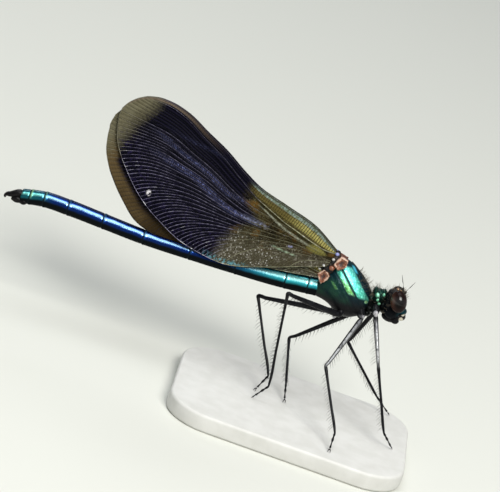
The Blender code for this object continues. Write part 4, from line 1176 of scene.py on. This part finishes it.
def membrane_paint(name, hind):
    """Blue-black band with painted blue sheen streaks and painted shade between its veins, olive root with a
    yellow ladder, pale rim, and painted glints here and there.
    """
    skin = Finish(name, Specular_IOR_Level=0.03)
    along, v = skin.layout("wing_share")
    mark, run = skin.layout("wing_veins")
    along, mark, run = along * SHARE_SPAN, mark * FAN_SPAN - FAN_START, run * FAN_SPAN
    ladder = skin.kept("ladder")
    place = skin.place()
    cloud, grain = place.noise(0.5, 3.0) - 0.5, place.noise(3.6, 3.0)
    between = nearness(mark, skin.kept("octave"))
    rungs = (run / CROSS_SPACING * 1.5).maths("PINGPONG", 0.5) * 2.0
    fore_only = 0.0 if hind else 1.0

    lobe = (v - 0.38) / 0.10
    starts = 10.6 - (lobe * lobe * -1.0).maths("EXPONENT") * 1.9 + v.fade(0.30, 0.20) * 0.8 + cloud * 1.6
    ends = 26.0 + v.fade(0.15, 0.55) * 0.9 + cloud * 1.6 + (grain - 0.5) * 1.6
    band = (along - starts).fade(-0.6, 1.0) * (ends - along).fade(-1.3, 1.1)

    # Three stripes of painted sheen: blue lustre standing in for the light reflected along the band's
    # grooves.
    first = (v - along.fade(17.0, 26.0) * 0.20 - along.fade(9.5, 13.5) * 0.055).near(0.36, 0.050, 0.010)
    first = first * along.fade(25.0, 19.5)
    second = (v - along.fade(15.5, 26.5) * 0.12 - along.fade(11.0, 14.0) * 0.075).near(0.21, 0.045, 0.008)
    third = (v - along.fade(15.0, 25.0) * 0.22).near(0.05, 0.035, 0.0) * along.band(16.5, 23.0, 2.0)
    painted_sheen_streak = first + second * along.band(11.5, 24.0, 1.5) * 0.75 + third * 0.35
    weave = rungs.fade(0.1, 0.7) * between.fade(0.15, 0.5) * 0.7 + grain.fade(0.45, 0.62) * 0.5
    painted_sheen = painted_sheen_streak * weave * (1 - along.fade(16.0, 24.0) * 0.4)

    # Colour of the painted sheen, with brighter painted glints in scattered cells.
    glint = place.cells(4.2, "Color").axes()[0].fade(0.75, 0.95)
    lustre = glint.mix((0.034, 0.038, 0.088), (0.085, 0.10, 0.22))
    lustre = along.fade(12.0, 8.8).mix(lustre, (0.20, 0.22, 0.33))
    # The band darkens midway between its veins: painted shade in the hollows.
    night = layers(between.fade(0.1, 0.6).mix((0.0055, 0.0045, 0.014), (0.0011, 0.0011, 0.0034)),
                   (v.fade(0.45, 0.85) * grain.fade(0.50, 0.75) * 0.5, (0.020, 0.014, 0.060)),
                   (painted_sheen, lustre))
    if hind:
        smoke = (cloud + along * 0.06).fade(0.9, 1.6).mix((0.028, 0.018, 0.007), (0.080, 0.055, 0.024))
        night = v.fade(0.82, 0.90).either(along.fade(25.2, 26.0)).mix(night, smoke)

    rearward = v.fade(0.40, 0.80)
    stipple = place.cells(4.4).fade(0.50, 0.15)
    patchy = place.noise(0.9, 4.0).fade(0.38, 0.62)
    umber = layers(patchy.mix((0.010, 0.008, 0.003), (0.036, 0.027, 0.008)),
                   (place.noise(0.6).fade(0.50, 0.66) * 0.8, (0.115, 0.060, 0.012)),
                   (rearward, (0.055, 0.048, 0.030)))
    stone = patchy.mix((0.050, 0.044, 0.018), rearward.mix((0.095, 0.088, 0.048), (0.30, 0.285, 0.24)))
    # Pale specks over the root's lower part: painted glints.
    sparkle = place.cells(4.4, "Color").axes()[0].fade(0.80, 0.92) * stipple * (rearward * 0.8 + 0.1)
    rung = (along / LADDER_SPACING).maths("PINGPONG", 0.5).fade(0.08, 0.20)
    gilt = grain.fade(0.3, 0.6).mix((0.21, 0.18, 0.050), (0.36, 0.33, 0.11))
    gilt = (along + grain * 2.0).fade(8.5, 5.0).mix((0.10, 0.080, 0.024), gilt)
    glassy = grain.fade(0.35, 0.65).mix((0.11, 0.14, 0.08), (0.26, 0.33, 0.30))
    beside = ladder.band(1.0, 1.22, 0.06) * (grain.fade(0.3, 0.6) * 0.4 + 0.6)
    bare = ladder.band(1.29, 1.42, 0.05) * (grain.fade(0.35, 0.60) * 0.6 + 0.4) * along.band(1.6, 9.6, 1.0)
    shine = along.fade(7.4, 9.0) + along.band(4.9, 6.0, 0.3) * 0.8 * glint
    olive = oval((along, 2.0, 0.5), (v, 0.42, 50.0)).fade(1.0, 0.2) * (rung * 0.4 + 0.5)
    ash = (along * 0.043 + v).near(0.86, 0.030, 0.005) * along.band(3.6, 6.2, 0.3) * grain.fade(0.35, 0.55)
    # A lilac spot on the forewing root: a painted glint.
    lilac_glint = oval((along, 4.55, 9.0), (v, 0.535, 900.0)).fade(1.0, 0.2) * grain.fade(0.30, 0.55)
    root = layers((stipple * 0.85 + grain.fade(0.4, 0.7) * 0.15).mix(umber, stone),
                  (sparkle * along.fade(3.0, 5.5), (0.50, 0.50, 0.47)),
                  (beside, (0.020, 0.018, 0.004)),
                  (bare, (0.32, 0.34, 0.26)),
                  # the first stripe of painted sheen, carried into the root
                  (first * grain.fade(0.38, 0.60) * shine, lustre),
                  (olive, (0.19, 0.175, 0.045)),
                  (ash * fore_only, (0.26, 0.34, 0.24)),
                  (lilac_glint * (fore_only * 0.8), (0.30, 0.31, 0.52)),
                  (ladder.fade(1.03, 0.95),
                   grain.fade(0.3, 0.7).mix((0.035, 0.028, 0.008), (0.090, 0.076, 0.024))),
                  (ladder.fade(0.82, 0.72), rung.mix((0.055, 0.045, 0.010), gilt)),
                  (ladder.fade(0.30, 0.25), (rung * 0.5 + 0.5).mix((0.05, 0.065, 0.03), glassy)))

    bloom = cloud.fade(-0.1, 0.2).mix((0.115, 0.105, 0.062), (0.15, 0.14, 0.088))
    strip = ladder.fade(0.80, 0.55) * along.fade(16.0, 21.0) * (rung * 0.3 + 0.6)
    # Teal specks along the trailing edge: painted glints.
    teal = v.fade(0.91, 0.98) * along.band(7.6, 11.4, 1.2) * grain.fade(0.45, 0.6)
    fleck = oval((along, 20.8, 9.0), (v, 0.895, 800.0)).fade(1.2, 0.2) * grain.fade(0.42, 0.55)
    colour = layers(root,
                    (along.fade(17.0, 20.0), between.fade(0.0, 0.35).mix((0.060, 0.053, 0.028), bloom)),
                    (band, night),
                    (strip, along.fade(19.0, 26.0).mix((0.050, 0.036, 0.026), (0.15, 0.115, 0.085))),
                    (teal * 0.8, (0.10, 0.30, 0.36)),
                    (fleck * fore_only, (0.60, 0.58, 0.60)))
    skin.wear(colour, between * 0.8 + rungs * 0.2, 0.10, 0.8, Metallic=painted_sheen * 0.5, Alpha=band * 0.14 + 0.85,
              Roughness=0.45 - painted_sheen * 0.1 + cloud * 0.1)
    return skin


def vein_paint(name, hind):
    """Dark horn ribs with a violet-grey lustre on the band, straw and brown at the root, and pale painted
    glints on the pale ribs.
    """
    skin = Finish(name, Specular_IOR_Level=0.2)
    body = skin.place(POSE)
    x, _, z = body.axes()
    root, axis, scale = WINGS["hindwing" if hind else "forewing"][:3]
    turn = math.radians(axis)
    along = ((x - root[0]) * -math.cos(turn) + (z - root[1]) * math.sin(turn)) / scale
    cloud, grain, kept = body.noise(0.7, 3.0), body.noise(2.6, 3.0), skin.kept("tone")
    tone = kept * (cloud.fade(0.2, 0.8) * 0.5 + grain.fade(0.3, 0.7) * 0.7 + 0.1)
    # Near-white specks on the pale ribs, mostly the trailing rim: painted glints.
    vein_glint = kept.fade(0.6, 0.95) * body.noise(1.9).fade(0.58, 0.68)
    lilac = (((0.020, 0.014, 0.006), (0.045, 0.034, 0.016)) if hind
             else ((0.10, 0.090, 0.15), (0.27, 0.255, 0.37)))
    colour = layers(tone.mix((0.008, 0.007, 0.014), grain.fade(0.3, 0.7).mix(*lilac)),
                    (vein_glint * (0.0 if hind else 1.0), (0.60, 0.60, 0.64)),
                    ((along + cloud * 3.0).fade(12.8, 10.8),
                     vein_glint.mix(tone.mix((0.022, 0.018, 0.007), (0.34, 0.34, 0.22)), (0.60, 0.60, 0.55))),
                    ((along + cloud).fade(25.6, 27.0), tone.mix((0.045, 0.040, 0.024), (0.30, 0.28, 0.20))))
    skin.wear(colour, body.noise(8.0, 3.0), 0.01, 0.4, Metallic=grain * 0.3)
    return skin


for wing_name, shape in WINGS.items():
    hind = wing_name == "hindwing"
    blade = Blade(shape[3])
    membrane_finish = membrane_paint(wing_name + "_membrane", hind)
    vein_finish = vein_paint(wing_name + "_veins", hind)
    slot_name = "brown_wing" if hind else "dark_wing"
    for side_name, side in SIDES:
        membrane = make_membrane("%s_membrane_%s" % (wing_name, side_name), blade, shape, side)
        settle(membrane, membrane_finish, slot_name, "%s_%s" % (wing_name, side_name))
        ribs = make_veins("%s_veins_%s" % (wing_name, side_name), blade, shape, side)
        settle(ribs, vein_finish, slot_name)
